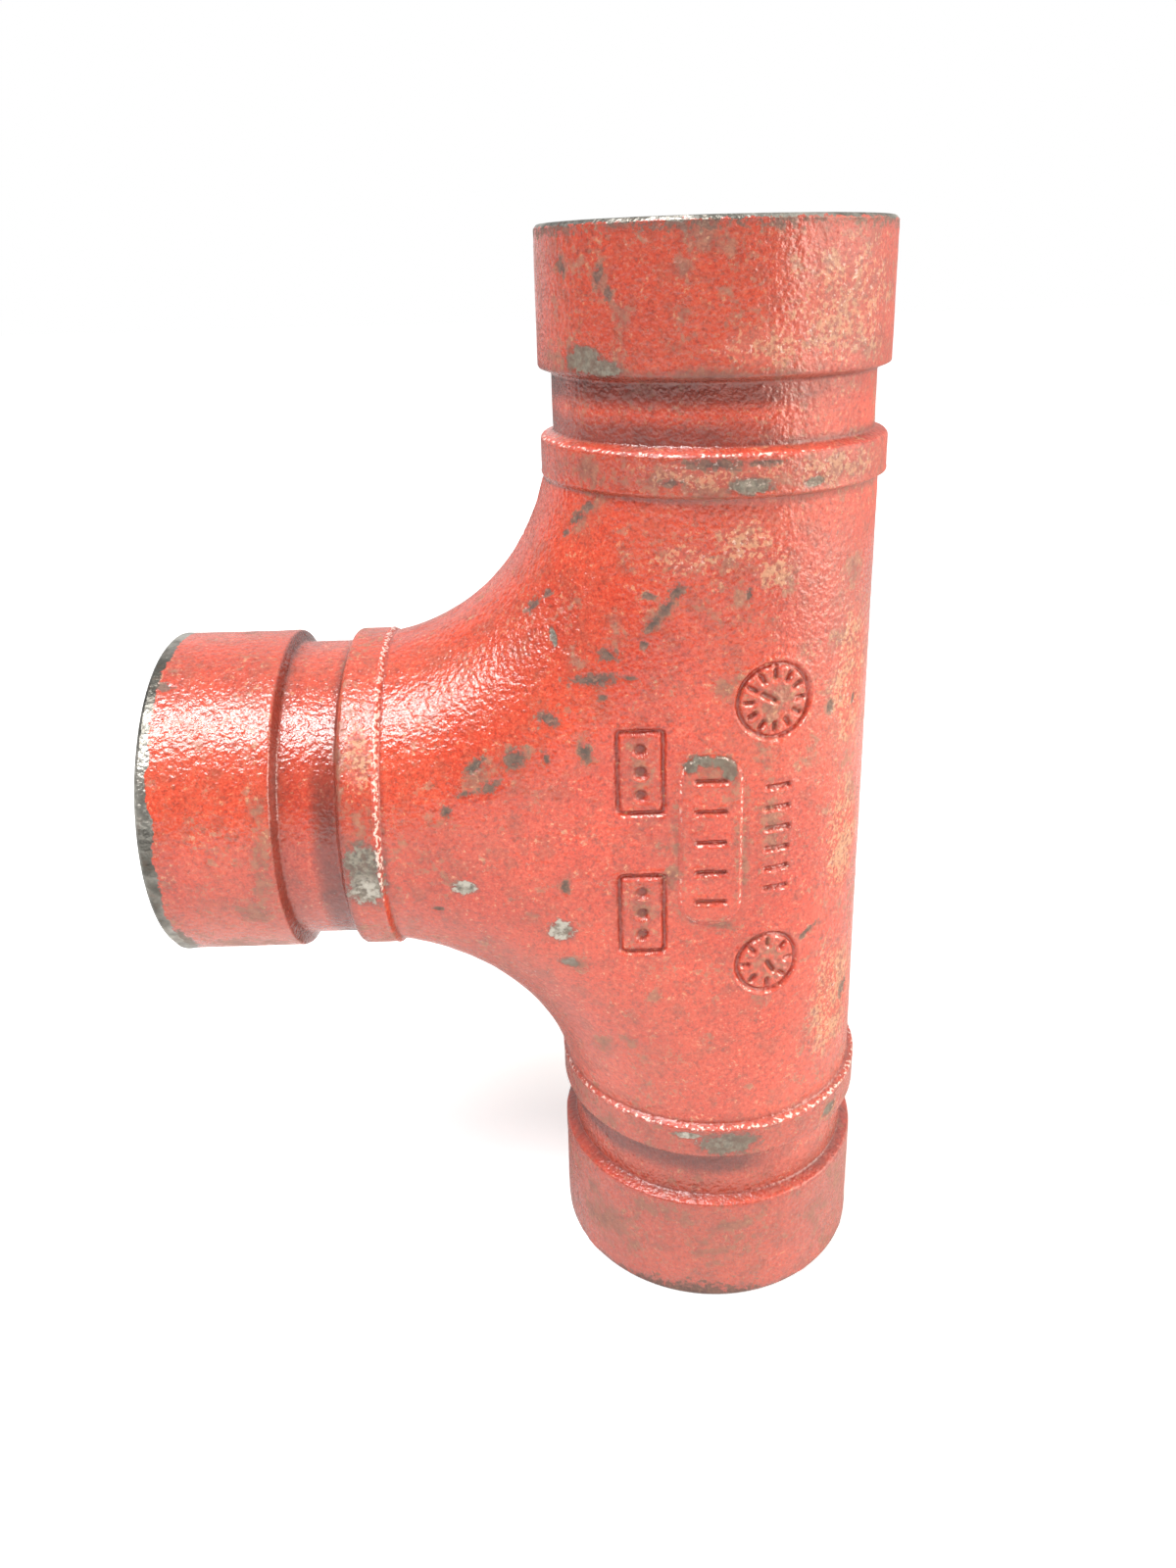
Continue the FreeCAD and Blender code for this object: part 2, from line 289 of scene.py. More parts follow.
# Bare grey patches, placed from the photograph: x, z, half width, half height, tilt in degrees if any
BARE = [
    (-15.6, 55.6, 2, 1.5, -8), (-13.6, 54.7, 2, 1), (1.9, 42.6, 2.4, 0.9), (9.1, 42.6, 1.2, 0.6, 10),
    (0.6, -43.9, 4, 1.7, 4), (-4.8, -42.7, 1.8, 0.5), (15.1, -43.9, 1, 0.8, 30), (-43.5, -1.2, 2.3, 3),
    (-43.4, -4.6, 2.3, 2.8, -8), (-20, 24.9, 0.4, 1.2, 10), (-31.7, -5.3, 1.5, 0.9),
    (-20.2, -11.7, 1.7, 1.5, -20), (-19.4, -16.6, 1.2, 0.7, -10), (-19, -16.9, 0.7, 0.5, -10),
    (0.3, 8.6, 0.6, 0.6), (-4.3, 9.9, 1, 0.8, 30), (-3, 10.6, 1.6, 0.7), (-1, 10.4, 1.5, 0.8, -10),
    (0.1, 9.3, 0.9, 1.2, -20), (-68.6, -13.5, 1.6, 3.5, 15),
]

# Where bare patches are bright, in the same form
BRIGHT = [
    (-20.2, -12.6, 4, 5), (-31.7, -5.3, 2.5, 2), (-43.4, -5.4, 3, 3), (-4.6, -42.7, 2, 1.5),
]

# Dark, soiled chips, in the same form
SOILED = [
    (-13.9, 23.5, 1.3, 0.9, 5), (-15.4, 20.6, 3.4, 0.95, 6), (-16.7, 12, 0.9, 1.4, 20),
    (-11.6, 20.9, 1, 0.4), (-20.9, 15.9, 1.6, 1.1, -10), (-25, 11.2, 1.7, 1.3, 30),
    (-29.7, 10.3, 1.7, 0.7, 40), (-28, 7.8, 1.5, 0.8, 30), (-31, 7, 1.2, 0.4, 10),
    (-33.3, 4.9, 0.8, 0.8), (-22.4, 27.8, 1.3, 0.5, 45), (-20.6, 29.4, 0.8, 0.4, 40),
    (-21.3, 11.4, 0.5, 1, 15), (-14.6, 18.6, 0.7, 0.5, 20), (-19.6, -5.6, 0.6, 1.2),
    (-6, 31, 1.3, 0.8, 55), (-7.2, 29.1, 1.5, 0.6, 55), (-8.7, 27.2, 1.4, 0.6, 50),
    (-9.7, 24.9, 0.6, 0.6), (-9.1, 30.4, 0.8, 0.4), (2.1, 30.4, 0.4, 1), (-17, 38, 1.3, 0.5, 45),
    (-15.6, 39.6, 0.9, 0.5, 50), (-18.4, 36.2, 0.6, 0.4, 40), (16.3, 14.8, 0.4, 1.1),
    (17.1, -27.4, 0.8, 1.3), (-2, 45, 3.6, 0.8), (3.4, 45.1, 2.6, 0.4), (-6.5, 43, 1.6, 0.5),
    (-35.2, -8.7, 0.8, 0.4), (10.6, -14.6, 1.6, 0.4, 30), (12.6, 15.2, 0.5, 0.9),
    (-67.6, 18.3, 1.3, 0.4), (-17.9, 65.2, 0.5, 1.1, 10), (-14, 64.2, 0.6, 1.2, -15),
    (-12.9, 62.4, 0.4, 0.9), (-3, -69.6, 8.5, 2.4), (-9, -69.5, 6, 1.3), (2, -69.6, 5, 1.5),
]

# Brown stains, in the same form
STAINS = [
    (-1, 54.6, 19, 0.9), (-15, -62, 5, 6), (-8, 43, 5, 1.8), (-2, 9.6, 4.2, 2.6), (-4.6, 8.2, 1.5, 2.4),
    (0.6, 7.8, 1.6, 3), (4, 11.4, 2.2, 2), (-16.9, 12.2, 1.6, 2.2, 20), (-8, -0.8, 1, 1.2),
    (-6.6, -4.6, 0.9, 2.4, -8), (-19, -16.4, 2.4, 1.6, -10), (-17.7, 65.2, 1.2, 2, 10),
    (-13.7, 63.6, 1.4, 2.6, -15), (-11.9, 60.5, 1.5, 2.5, 20), (-3.6, 67.8, 6.5, 1.8),
    (-5.5, 65, 2.4, 1.4, 30), (-5.2, 60.3, 1.2, 1.2), (1.5, 57.2, 1.6, 1.5, 30), (8.6, 57.6, 1.6, 1.3),
    (14.5, 56.2, 3, 1.2), (-3, 54.3, 8, 0.7), (-3.5, 42.2, 4.5, 1.6), (-1, 44.6, 8, 1.2),
    (5, 43, 5, 1.6), (13, 43.6, 7, 2.2), (-15.5, 43.8, 3, 2.2), (1, 30.4, 1.8, 2.4),
    (-3.4, 29.5, 1.6, 1), (6.9, 31.5, 1.5, 2.5), (-13, 27, 1.2, 1.6), (-12.6, 25.2, 2, 1, 10),
    (-7.6, 28.6, 3.6, 1.5, 50), (-16, 38.4, 3.2, 1.5, 45), (-17.6, 22.6, 1.6, 1.2),
    (-0.5, 19.5, 1.8, 2.2), (5, 10.6, 1.4, 3.2), (5.3, 1, 2, 6), (-1.9, 9.8, 3.2, 1.5),
    (-5.9, 0.7, 1, 8), (1.8, -2, 1.1, 8), (-0.7, -11.2, 3.6, 1.4), (5.5, 17.5, 4.2, 4.2),
    (5.4, -17.4, 3.8, 3.8), (-10.3, 9.2, 2.2, 4.8), (-10.3, -9.6, 2.2, 4.8),
    (10.4, -14.9, 1.6, 0.8, 25), (12.5, 15.2, 1.4, 1.6), (10.6, 10.4, 1.2, 1),
    (13.1, -13.9, 1.8, 0.6, 20), (3.5, -14, 2, 1), (-29, 9, 3.6, 1.8, 35), (-25, 11.4, 2.6, 2, 20),
    (-19.6, -5.6, 1, 1.6), (-24.2, -9.6, 1.8, 0.6), (-46, 12, 1, 8), (-43.6, 3.6, 2.2, 4),
    (-43.5, -2.8, 2.8, 6), (-55.6, -1, 1.6, 10), (-55.4, 5.5, 1.6, 3), (-57.5, -8, 3, 3, 20),
    (-60, -16, 7, 3), (-8.5, -21, 1.6, 1, 40), (-15.4, -31, 1.6, 2.4), (-12, -29.6, 1.4, 1.8, 20),
    (4.5, -22.6, 1.6, 1.4), (3.2, -35.8, 1, 0.7), (12.3, -27.6, 1.6, 2.4), (15.6, -30, 1.4, 3),
    (16.4, -24, 1.6, 6), (15.4, -43.6, 2.4, 1.6, 20), (-15, -44.5, 2, 1.6, -20),
    (-10.5, -56.2, 3.6, 1.2, -15), (2, -57.4, 5, 1.4), (-17.4, -58.6, 1, 2.2, 10),
    (-2.3, -62.4, 2.6, 1.2), (-12.6, -63.5, 2.2, 1.6), (13.5, -62, 1.4, 3.4, 20), (15.6, 8, 1.6, 3),
    (13.4, 24, 1.8, 3.4), (16.6, 2, 1.2, 4), (15, 31, 2, 3),
]

# Ochre specks, in the same form
SPECKLED = [
    (12, 61, 9, 8.5), (3, 57, 7, 3), (12, 43.6, 9, 2.4), (1.5, 36.4, 4.2, 3.4), (5, 32.8, 4, 2.2),
    (-5, 34.5, 4, 2.5), (15.5, 18, 4, 14), (-43.6, 11, 2.4, 5), (15.5, -4, 4, 12), (15, -27, 5, 12),
    (-1, 44, 12, 2.4), (15, -44, 3, 2),
]

# Colours, linear
RED_DEEP = (0.62, 0.047, 0.021, 1)
RED_WARM = (0.76, 0.070, 0.029, 1)
RED_PALE = (0.86, 0.235, 0.125, 1)
RED_DARK = (0.25, 0.026, 0.017, 1)
# Pale film, with a painted reflection of the white floor
HAZE_AND_REFLECTION = (0.66, 0.215, 0.145, 1)
DUST_DARK = (0.15, 0.078, 0.050, 1)
DUST_PALE = (0.37, 0.190, 0.110, 1)
# Painted shade in the cut lines of the marks
CUT_SHADE = (0.22, 0.020, 0.015, 1)
SOIL_DARK = (0.050, 0.046, 0.036, 1)
# Painted shade and dirt round the grooves, and the darker limbs
CREASE_SHADE_AND_DIRT = (0.155, 0.034, 0.025, 1)
SOIL_BROWN = (0.150, 0.085, 0.058, 1)
OCHRE = (0.76, 0.390, 0.210, 1)
CHIP_EDGE = (0.11, 0.050, 0.038, 1)
IRON_DARK = (0.10, 0.085, 0.068, 1)
IRON_PALE = (0.30, 0.270, 0.210, 1)
IRON_OLIVE = (0.19, 0.150, 0.105, 1)
METAL_DARK = (0.12, 0.115, 0.100, 1)
METAL_PALE = (0.50, 0.480, 0.430, 1)
CHIP_PALE = (0.52, 0.490, 0.420, 1)
# Painted highlight specks
PAINTED_GLINT = (1.0, 0.800, 0.700, 1)
WATERWAY = (0.075, 0.060, 0.052, 1)
RUST = (0.19, 0.075, 0.038, 1)

# The side of the object on which the white backdrop stands, and where it fades in from
BACKDROP_SIDE = (0.8, 0.6, 0)
BACKDROP_FADE = (-0.35, 0.25)
WHITE = (1, 1, 1, 1)
AMBIENT_STRENGTH = 0.27
ROOM_STRENGTH = 0.18

# The floor, in metres, and the glow that lifts it near the object and far off
FLOOR_HALF = 3.0
FLOOR_COLOUR = (0.85, 0.85, 0.85, 1)
LIFT_FADE = (0.1, 0.6)
FLOOR_LIFT = (0.6, 0.85)

# Lamps: name, direction from the object, distance, width and height in metres, power in watts, colour
LAMPS = (
    ("overhead", (-0.28, -0.34, 0.9), 0.9, (0.34, 0.34), 6.9, (1, 1, 1)),
    ("upper_left", (-0.62, -0.27, 0.74), 0.6, (0.2, 0.2), 1.5, (1, 1, 1)),
    ("left_behind", (-0.75, 0.62, 0.15), 0.6, (0.2, 0.4), 0.15, (1, 1, 1)),
    ("right", (0.89, -0.27, 0.3), 0.7, (0.6, 0.6), 5.8, (1, 0.92, 0.80)),
)

# Noises of the material: size of the grains in mm, detail, shift and roughness
NOISES = {
    "broad": (16, 3, 5, 0.5),
    "middle": (2.6, 4, 11, 0.6),
    "fine": (0.55, 3, 23, 0.6),
    "finest": (0.28, 2, 37, 0.5),
    "ragged": (1.0, 4, 71, 0.65),
    "blotches": (3.2, 6, 83, 0.68),
    "pits": (0.9, 3, 97, 0.6),
    "sparse": (0.5, 2, 61, 0.5),
    "skin": (0.7, 2, 53, 0.5),
}
SHIFT_SIDEWAYS = 0.7

# Ramps over a noise or a field: where it starts, where it is full, and how full if not 1
WARM_AREAS = (0.35, 0.65)
PALE_FLECKS = (0.5, 0.74)
GRIME_EDGE = (0.4, 0.9)
PIT_EDGE = (0.58, 0.7)
OCHRE_EDGE = (0.64, 0.74, 0.55)
SOIL_EDGE = (-0.1, 0.5)
CHIP_SHADOW = (-0.25, 0.0, 0.5)
BARE_EDGE = (-0.02, 0.2)
BRIGHT_SPOTS = (0.4, 0.6)
CREST_EDGE = (0.85, 1.05)
# Painted highlight specks on the crests and in the ochre specks
CREST_GLINT_DOTS = (0.68, 0.78)
SPECK_PAINTED_GLINTS = (0.61, 0.69, 0.4)
RIM_EDGE = (0.0, 0.12)
METAL_TONES = (0.4, 0.62)
EDGE_DULLNESS = (0.3, 0.8, 0.36)

# Coats over a colour: the noise that places one, its ramp, and its colour
FLECK_COATS = (
    ("finest", (0.5, 0.75, 0.3), RED_PALE),
    ("fine", (0.47, 0.3, 0.62), RED_DARK),
    ("finest", (0.47, 0.25, 0.5), RED_DARK),
)
IRON_COATS = (
    ("fine", (0.3, 0.7), IRON_PALE),
    ("broad", (0.4, 0.62), IRON_OLIVE),
    ("ragged", (0.44, 0.6, 0.7), SOIL_BROWN),
)
SOIL_COATS = (("ragged", (0.4, 0.6), SOIL_BROWN), ("fine", (0.56, 0.76), IRON_OLIVE))
DIRT_COATS = (("ragged", (0.35, 0.65), DUST_PALE),)
CLOUD_COATS = (("middle", (0.48, 0.68, 0.28), DUST_DARK),)
METAL_COATS = (("ragged", (0.5, 0.7, 0.35), SOIL_BROWN),)
RUST_COATS = (("middle", (0.4, 0.65), RUST),)

# Noises turned into a range that is added or multiplied
FLECK_DRIFT = (0.1, 0.9)
HAZE_DRIFT = (0.5, 1.0)
GRIME_BLOTCHES = (-0.9, 0.9)
GRIME_RAGGED = (-0.8, 0.8)
GRIME_GRAIN = (0.4, 1.1)
PIT_DRIFT = (-0.1, 0.7)
CUT_DRIFT = (0.2, 1.15)
OCHRE_DRIFT = (-0.3, 0.3)
FRAY_RAGGED = (-1.25, 1.25)
FRAY_FINE = (-0.6, 0.6)
SOIL_FRAY = (-0.8, 0.8)
SOIL_COVER = (1.5, 0.4)
CREASE_DRIFT = (0.55, 1.15)
RIM_FRAY = (-1.0, 0.8)
METAL_BROAD = (0.0, 0.65)
METAL_MIDDLE = (0.0, 0.35)
PAINT_DULLNESS = (0.18, 0.6)
DULLNESS_DRIFT = (-0.06, 0.06)

# Plain shares, most dullness of each surface, and relief in mm
GRIME_FILM = 0.38
OCHRE_SPECKLE = 0.17
CREASE_COVER = 0.95
WEAR_FRAY = 0.62
# Painted highlight specks: how much rubbed edges raise them, and their cover
CREST_LIFT = 0.13
PAINTED_GLINT_COVER = 0.8
BARE_SHINE = 0.15
PAINT_SPECULAR = 0.9
MATTE_DULLNESS = 0.54
CREST_DULLNESS = 0.5
SPECKLE_DULLNESS = 0.6
SOIL_DULLNESS = 0.7
BARE_DULLNESS = 0.5
RIM_DULLNESS = 0.42
WATERWAY_DULLNESS = 0.8
SKIN_BUMP = 0.2
PEBBLE_SIZE = 0.5
PEBBLE_SMOOTHNESS = 0.6
PEBBLE_BUMP = 0.05
FINEST_BUMP = 0.015


def smooth(low, high, value):
    """A smooth step from 0 at low to 1 at high."""
    share = np.clip((np.asarray(value, float) - low) / (high - low), 0, 1)
    return share * share * (3 - 2 * share)


def blend(first, second, share):
    return first + (second - first) * share


def lattice_value(cells, seed):
    """A repeatable value between -1 and 1 for each whole-numbered cell."""
    mixed = seed * HASH_SEED_FACTOR
    for axis, factor in enumerate(HASH_FACTORS):
        mixed = mixed ^ (cells[:, axis] * factor)
    for shift, factor in HASH_ROUNDS:
        mixed = ((mixed ^ (mixed >> shift)) * factor) & HASH_MASK
    return mixed / (HASH_MASK // 2) - 1


def lumps(points, size, seed):
    """Smooth noise between -1 and 1 with lumps about as large as size."""
    scaled = points / size
    base = np.floor(scaled).astype(np.int64)
    share = scaled - base
    share = share * share * (3 - 2 * share)
    total = np.zeros(len(points))
    for corner in np.ndindex(2, 2, 2):
        weight = np.prod(np.where(np.array(corner) == 1, share, 1 - share), axis=1)
        total += weight * lattice_value(base + np.array(corner), seed)
    return total


def rough(points, size, seed, octaves=3):
    """Several sizes of lumps together, between about -1 and 1."""
    total = np.zeros(len(points))
    strength = 1.0
    for octave in range(octaves):
        total += strength * lumps(points, size / 2 ** octave, seed + octave)
        strength *= 0.5
    return total / (2 - 0.5 ** (octaves - 1))


def junction_row(radius, share, end, columns):
    """
    One line across a crotch quarter, from the limb's front line to its crest.
    share is 0 on the plane between the two limbs and 1 at distance end along the limb.
    """
    on_axis = end * share
    flat_up = blend(SWEEP_CENTRE * (1 - SEAM_ANGLE_COS), end, share)
    flat_out = -SWEEP_CENTRE + math.sqrt(SWEEP_CENTRE ** 2 - (SWEEP_CENTRE - flat_up) ** 2)
    flat = math.hypot(flat_out, flat_up - on_axis)
    along = np.linspace(0, flat + radius * math.pi / 2, columns + 1)
    angle = np.clip((along - flat) / radius, 0, math.pi / 2)
    sweep = SWEEP_CENTRE - radius * np.sin(angle)
    up = blend(SWEEP_CENTRE - sweep * SEAM_ANGLE_COS, end, share)
    out = -SWEEP_CENTRE + np.sqrt(sweep ** 2 - (SWEEP_CENTRE - up) ** 2)
    on_cheek = np.clip(along / flat, 0, 1)
    cheek = along <= flat
    return np.column_stack([
        np.where(cheek, flat_out * on_cheek, out),
        -radius * np.cos(angle),
        np.where(cheek, blend(on_axis, flat_up, on_cheek), up),
    ])


def ring_row(radius, along, side, columns):
    """One line round a quarter of a limb: side is -1 on the crotch side and 1 on the plain side."""
    angle = np.linspace(0, math.pi / 2, columns + 1)
    return np.column_stack([
        side * radius * np.sin(angle),
        -radius * np.cos(angle),
        np.full(columns + 1, along),
    ])


def body_row(radius, share, end, plain, columns):
    """One line across a quarter of the body, on its plain side or in a crotch."""
    if plain:
        return ring_row(radius, end * share, 1, columns)
    return junction_row(radius, share, end, columns)


def rounded_path(corners):
    """Points along a line of corners, each an (along, radius, rounding), with its corners rounded."""
    spots = [np.array(corner[:2], float) for corner in corners]
    path = [spots[0]]
    for index in range(1, len(corners) - 1):
        before, here, after = spots[index - 1:index + 2]
        rounding = corners[index][2]
        arrive = (here - before) / np.linalg.norm(here - before)
        leave = (after - here) / np.linalg.norm(after - here)
        turn = math.acos(np.clip(arrive @ leave, -1, 1))
        reach = rounding * math.tan(turn / 2)
        middle = here + (leave - arrive) / np.linalg.norm(leave - arrive) * rounding / math.cos(turn / 2)
        first = here - arrive * reach
        steps = max(2, math.ceil(turn / ARC_STEP))
        add_straight(path, first)
        spoke = first - middle
        direction = np.sign(arrive[0] * leave[1] - arrive[1] * leave[0])
        for step in range(1, steps + 1):
            angle = direction * turn * step / steps
            cosine, sine = math.cos(angle), math.sin(angle)
            path.append(middle + np.array([
                spoke[0] * cosine - spoke[1] * sine,
                spoke[0] * sine + spoke[1] * cosine,
            ]))
    add_straight(path, spots[-1])
    return path


def add_straight(path, target):
    start = path[-1]
    steps = max(1, round(float(np.linalg.norm(target - start)) / ROW_STEP))
    for step in range(1, steps + 1):
        path.append(blend(start, target, step / steps))


def limb_section(reach):
    """The outline of a limb from the ring's crown over the groove, seat and end face into the mouth."""
    groove_far = reach - SEAT_WIDTH
    groove_near = groove_far - GROOVE_WIDTH
    foot = reach - RING_FOOT_FROM_END
    return rounded_path([
        (foot + RING_RISE + BEAD_END, PIPE, 0),
        (groove_near, PIPE, RING_CORNER),
        (groove_near + GROOVE_FLANK, GROOVE, GROOVE_ROOT),
        (groove_far - GROOVE_FLANK, GROOVE, GROOVE_ROOT),
        (groove_far, PIPE, COLLAR_CORNER),
        (reach - RIM_BEVEL, PIPE, RIM_CORNER),
        (reach, PIPE - RIM_BEVEL, RIM_CORNER),
        (reach, BORE + MOUTH_BEVEL, MOUTH_BEVEL / 2),
        (reach - MOUTH_BEVEL, BORE, 0),
    ])


def quarter_grid(reach, plain, columns):
    """
    A quarter of a limb as rows of points, from the seam at the centre out over the end face,
    and back through the bore to the seam inside. The limb points up and the quarter is at the front.
    """
    side = 1 if plain else -1
    foot = reach - RING_FOOT_FROM_END
    rows = []
    for row in range(JUNCTION_ROWS + 1):
        rows.append(body_row(BODY_RADIUS, row / JUNCTION_ROWS, foot, plain, columns))
    crown = ring_row(PIPE, foot + RING_RISE, side, columns)
    for step in range(1, RISE_ROWS):
        share = step / RISE_ROWS
        row = blend(rows[JUNCTION_ROWS], crown, smooth(0, 1, share))
        row[:, 2] = foot + RING_RISE * share
        rows.append(row)
    for step in BEAD_ROWS:
        rows.append(ring_row(PIPE, foot + RING_RISE + step, side, columns))
    for along, radius in limb_section(reach):
        rows.append(ring_row(radius, along, side, columns))
    inner_end = reach - BORE_DEPTH + (SWEEP_CENTRE - foot)
    mouth = reach - MOUTH_BEVEL
    for step in range(1, BORE_ROWS):
        rows.append(ring_row(BORE, blend(mouth, inner_end, step / BORE_ROWS), side, columns))
    for row in range(INNER_ROWS, -1, -1):
        share = row / INNER_ROWS
        radius = blend(CORE, BORE, float(smooth(CORE_WIDENS_FROM, 1, share)))
        rows.append(body_row(radius, share, inner_end, plain, columns))
    return np.array(rows)


def raw_mesh():
    """Weld the twelve quarters of the three limbs into one closed mesh, in metres."""
    flip_y = np.diag([1, -1, 1])
    flip_z = np.diag([1, 1, -1])
    to_branch = np.array([[0, 0, -1], [0, 1, 0], [-1, 0, 0]])
    same = np.eye(3)
    mesh = bmesh.new()
    for depth, columns in ((same, FRONT_COLUMNS), (flip_y, BACK_COLUMNS)):
        crotch = quarter_grid(RUN_REACH, False, columns)
        plain = quarter_grid(RUN_REACH, True, columns)
        branch = quarter_grid(BRANCH_REACH, False, columns)
        for height in (same, flip_z):
            for grid, towards in ((crotch, same), (plain, same), (branch, to_branch)):
                add_grid(mesh, grid @ (height @ depth @ towards).T * MM)
    bmesh.ops.remove_doubles(mesh, verts=mesh.verts, dist=WELD)
    bmesh.ops.recalc_face_normals(mesh, faces=mesh.faces)
    return mesh


def add_grid(mesh, grid):
    rows = [[mesh.verts.new(point) for point in row] for row in grid]
    for row, next_row in zip(rows, rows[1:]):
        for column in range(len(row) - 1):
            mesh.faces.new((row[column], row[column + 1], next_row[column + 1], next_row[column]))


def limb_place(points):
    """How far each point lies back from its limb's end, its distance from the limb's axis, and the limb."""
    on_branch = (points[:, 0] < 0) & (-points[:, 0] > np.abs(points[:, 2]))
    along = np.where(on_branch, -points[:, 0], np.abs(points[:, 2]))
    across = np.where(on_branch, points[:, 2], points[:, 0])
    radial = np.hypot(across, points[:, 1])
    reach = np.where(on_branch, BRANCH_REACH, RUN_REACH)
    limb = np.where(on_branch, BRANCH, np.where(points[:, 2] > 0, ABOVE, BELOW))
    return reach - along, radial, limb


def is_outside(points):
    """True on the outside of the casting and on its end faces, False in the waterway."""
    from_end, radial, _ = limb_place(points)
    level = np.hypot(cross_level(points), points[:, 1])
    in_body = level > (BODY_RADIUS + CORE) / 2
    on_limb = from_end < RING_FOOT_FROM_END
    return np.where(on_limb, radial > BORE + MOUTH_BEVEL / 2, in_body)


def cross_level(points):
    """Half width of the body's section at each point: its distance from the nearest limb's middle plane."""
    out = points[:, 0]
    up = np.abs(points[:, 2])
    to_sweep = np.hypot(out + SWEEP_CENTRE, up - SWEEP_CENTRE)
    return np.where(out > 0, out, np.clip(SWEEP_CENTRE - to_sweep, 0, None))


def face_plan(points):
    """Front points laid flat, as distance along the surface from the run's front line, and height."""
    out = points[:, 0]
    round_side = BODY_RADIUS * np.arcsin(np.clip(out / BODY_RADIUS, 0, 1))
    return np.column_stack([np.where(out > 0, round_side, out), points[:, 2]])


def to_segment(plan, start, end):
    """Distance from each laid-out point to a straight stroke."""
    start, end = np.array(start, float), np.array(end, float)
    line = end - start
    share = np.clip((plan - start) @ line / (line @ line), 0, 1)
    return np.linalg.norm(plan - start - share[:, None] * line, axis=1)


def to_box(plan, centre, half, corner):
    """Distance outside (above 0) or inside (below 0) a box with rounded corners."""
    offset = np.abs(plan - np.array(centre)) - (np.array(half) - corner)
    beyond = np.linalg.norm(np.clip(offset, 0, None), axis=1)
    return beyond + np.minimum(offset.max(axis=1), 0) - corner


def dial_distance(plan, centre, radius, ticks, pointer):
    """Distance to a ring with ticks inside it and a pointer from its middle."""
    centre = np.array(centre)
    nearest = np.abs(np.linalg.norm(plan - centre, axis=1) - radius)
    for tick in range(ticks):
        angle = 2 * math.pi * tick / ticks
        spoke = np.array([math.cos(angle), math.sin(angle)])
        outer = centre + spoke * radius * DIAL_TICK_OUTER
        inner = centre + spoke * radius * DIAL_TICK_INNER
        nearest = np.minimum(nearest, to_segment(plan, inner, outer))
    aim = centre + radius * DIAL_POINTER * np.array([math.cos(pointer), math.sin(pointer)])
    return np.minimum(nearest, to_segment(plan, centre, aim))


def stroke_distance(plan):
    """Distance from each laid-out point to the nearest cut line of the foundry's plain marks."""
    nearest = np.minimum(
        dial_distance(plan, UPPER_DIAL, UPPER_DIAL_RADIUS, UPPER_DIAL_TICKS, UPPER_POINTER),
        dial_distance(plan, LOWER_DIAL, LOWER_DIAL_RADIUS, LOWER_DIAL_TICKS, LOWER_POINTER),
    )
    for centre in (UPPER_FRAME, LOWER_FRAME):
        nearest = np.minimum(nearest, np.abs(to_box(plan, centre, FRAME_HALF, FRAME_CORNER)))
        for step in (-1, 0, 1):
            pip = np.array(centre) + (0, step * FRAME_PIP_GAP)
            nearest = np.minimum(nearest, np.linalg.norm(plan - pip, axis=1) - FRAME_PIP)
    for step in range(PAD_BARS):
        height = PAD_CENTRE[1] + (step - (PAD_BARS - 1) / 2) * PAD_BAR_GAP
        left = (PAD_CENTRE[0] - PAD_BAR_HALF, height)
        right = (PAD_CENTRE[0] + PAD_BAR_HALF, height)
        nearest = np.minimum(nearest, to_segment(plan, left, right))
    for step in range(RIB_COUNT):
        height = RIB_TOP - step * RIB_GAP
        nearest = np.minimum(nearest, to_segment(plan, (RIB_LEFT, height), (RIB_RIGHT, height)))
    return nearest


def pad_height(plan):
    """The raised pad between the dials, with soft edges."""
    return PAD_RISE * (1 - smooth(-PAD_SLOPE, PAD_SLOPE, to_box(plan, PAD_CENTRE, PAD_HALF, PAD_CORNER)))


def in_marks_field(points):
    """True on the part of the body's front that carries the marks."""
    front = (points[:, 1] < -BODY_RADIUS / 2) & is_outside(points)
    return front & (np.abs(points[:, 2]) < MARKS_REACH) & (points[:, 0] > MARKS_LEFT)


def refine(mesh):
    """Split the faces under marks and small chips finely, with new points on the body's true surface."""
    faces = list(mesh.faces)
    middles = np.array([face.calc_center_median()[:] for face in faces]) / MM
    plan = face_plan(middles)
    pad_edge = np.abs(to_box(plan, PAD_CENTRE, PAD_HALF, PAD_CORNER))
    close = in_marks_field(middles) & (np.minimum(stroke_distance(plan), pad_edge) < MARKS_MARGIN)
    small = [
        (out, up, half_width + CHIP_MARGIN, half_height + CHIP_MARGIN, *tilt)
        for out, up, half_width, half_height, *tilt in BARE + SOILED
        if min(half_width, half_height) < SMALL_CHIP
    ]
    close |= is_outside(middles) & (patch_field(middles, small) > 0)
    near = {edge for face, wanted in zip(faces, close) if wanted for edge in face.edges}
    bmesh.ops.subdivide_edges(mesh, edges=list(near), cuts=FINE_CUTS, use_grid_fill=True)
    points = read_points(mesh)
    height = np.sqrt(np.clip(BODY_RADIUS ** 2 - cross_level(points) ** 2, 0, None))
    mesh.verts.ensure_lookup_table()
    on_body = is_outside(points) & (points[:, 1] < -BODY_RADIUS / 2)
    on_body &= limb_place(points)[0] > RING_FOOT_FROM_END + FOOT_MARGIN
    for index in np.flatnonzero(on_body):
        mesh.verts[index].co.y = -height[index] * MM


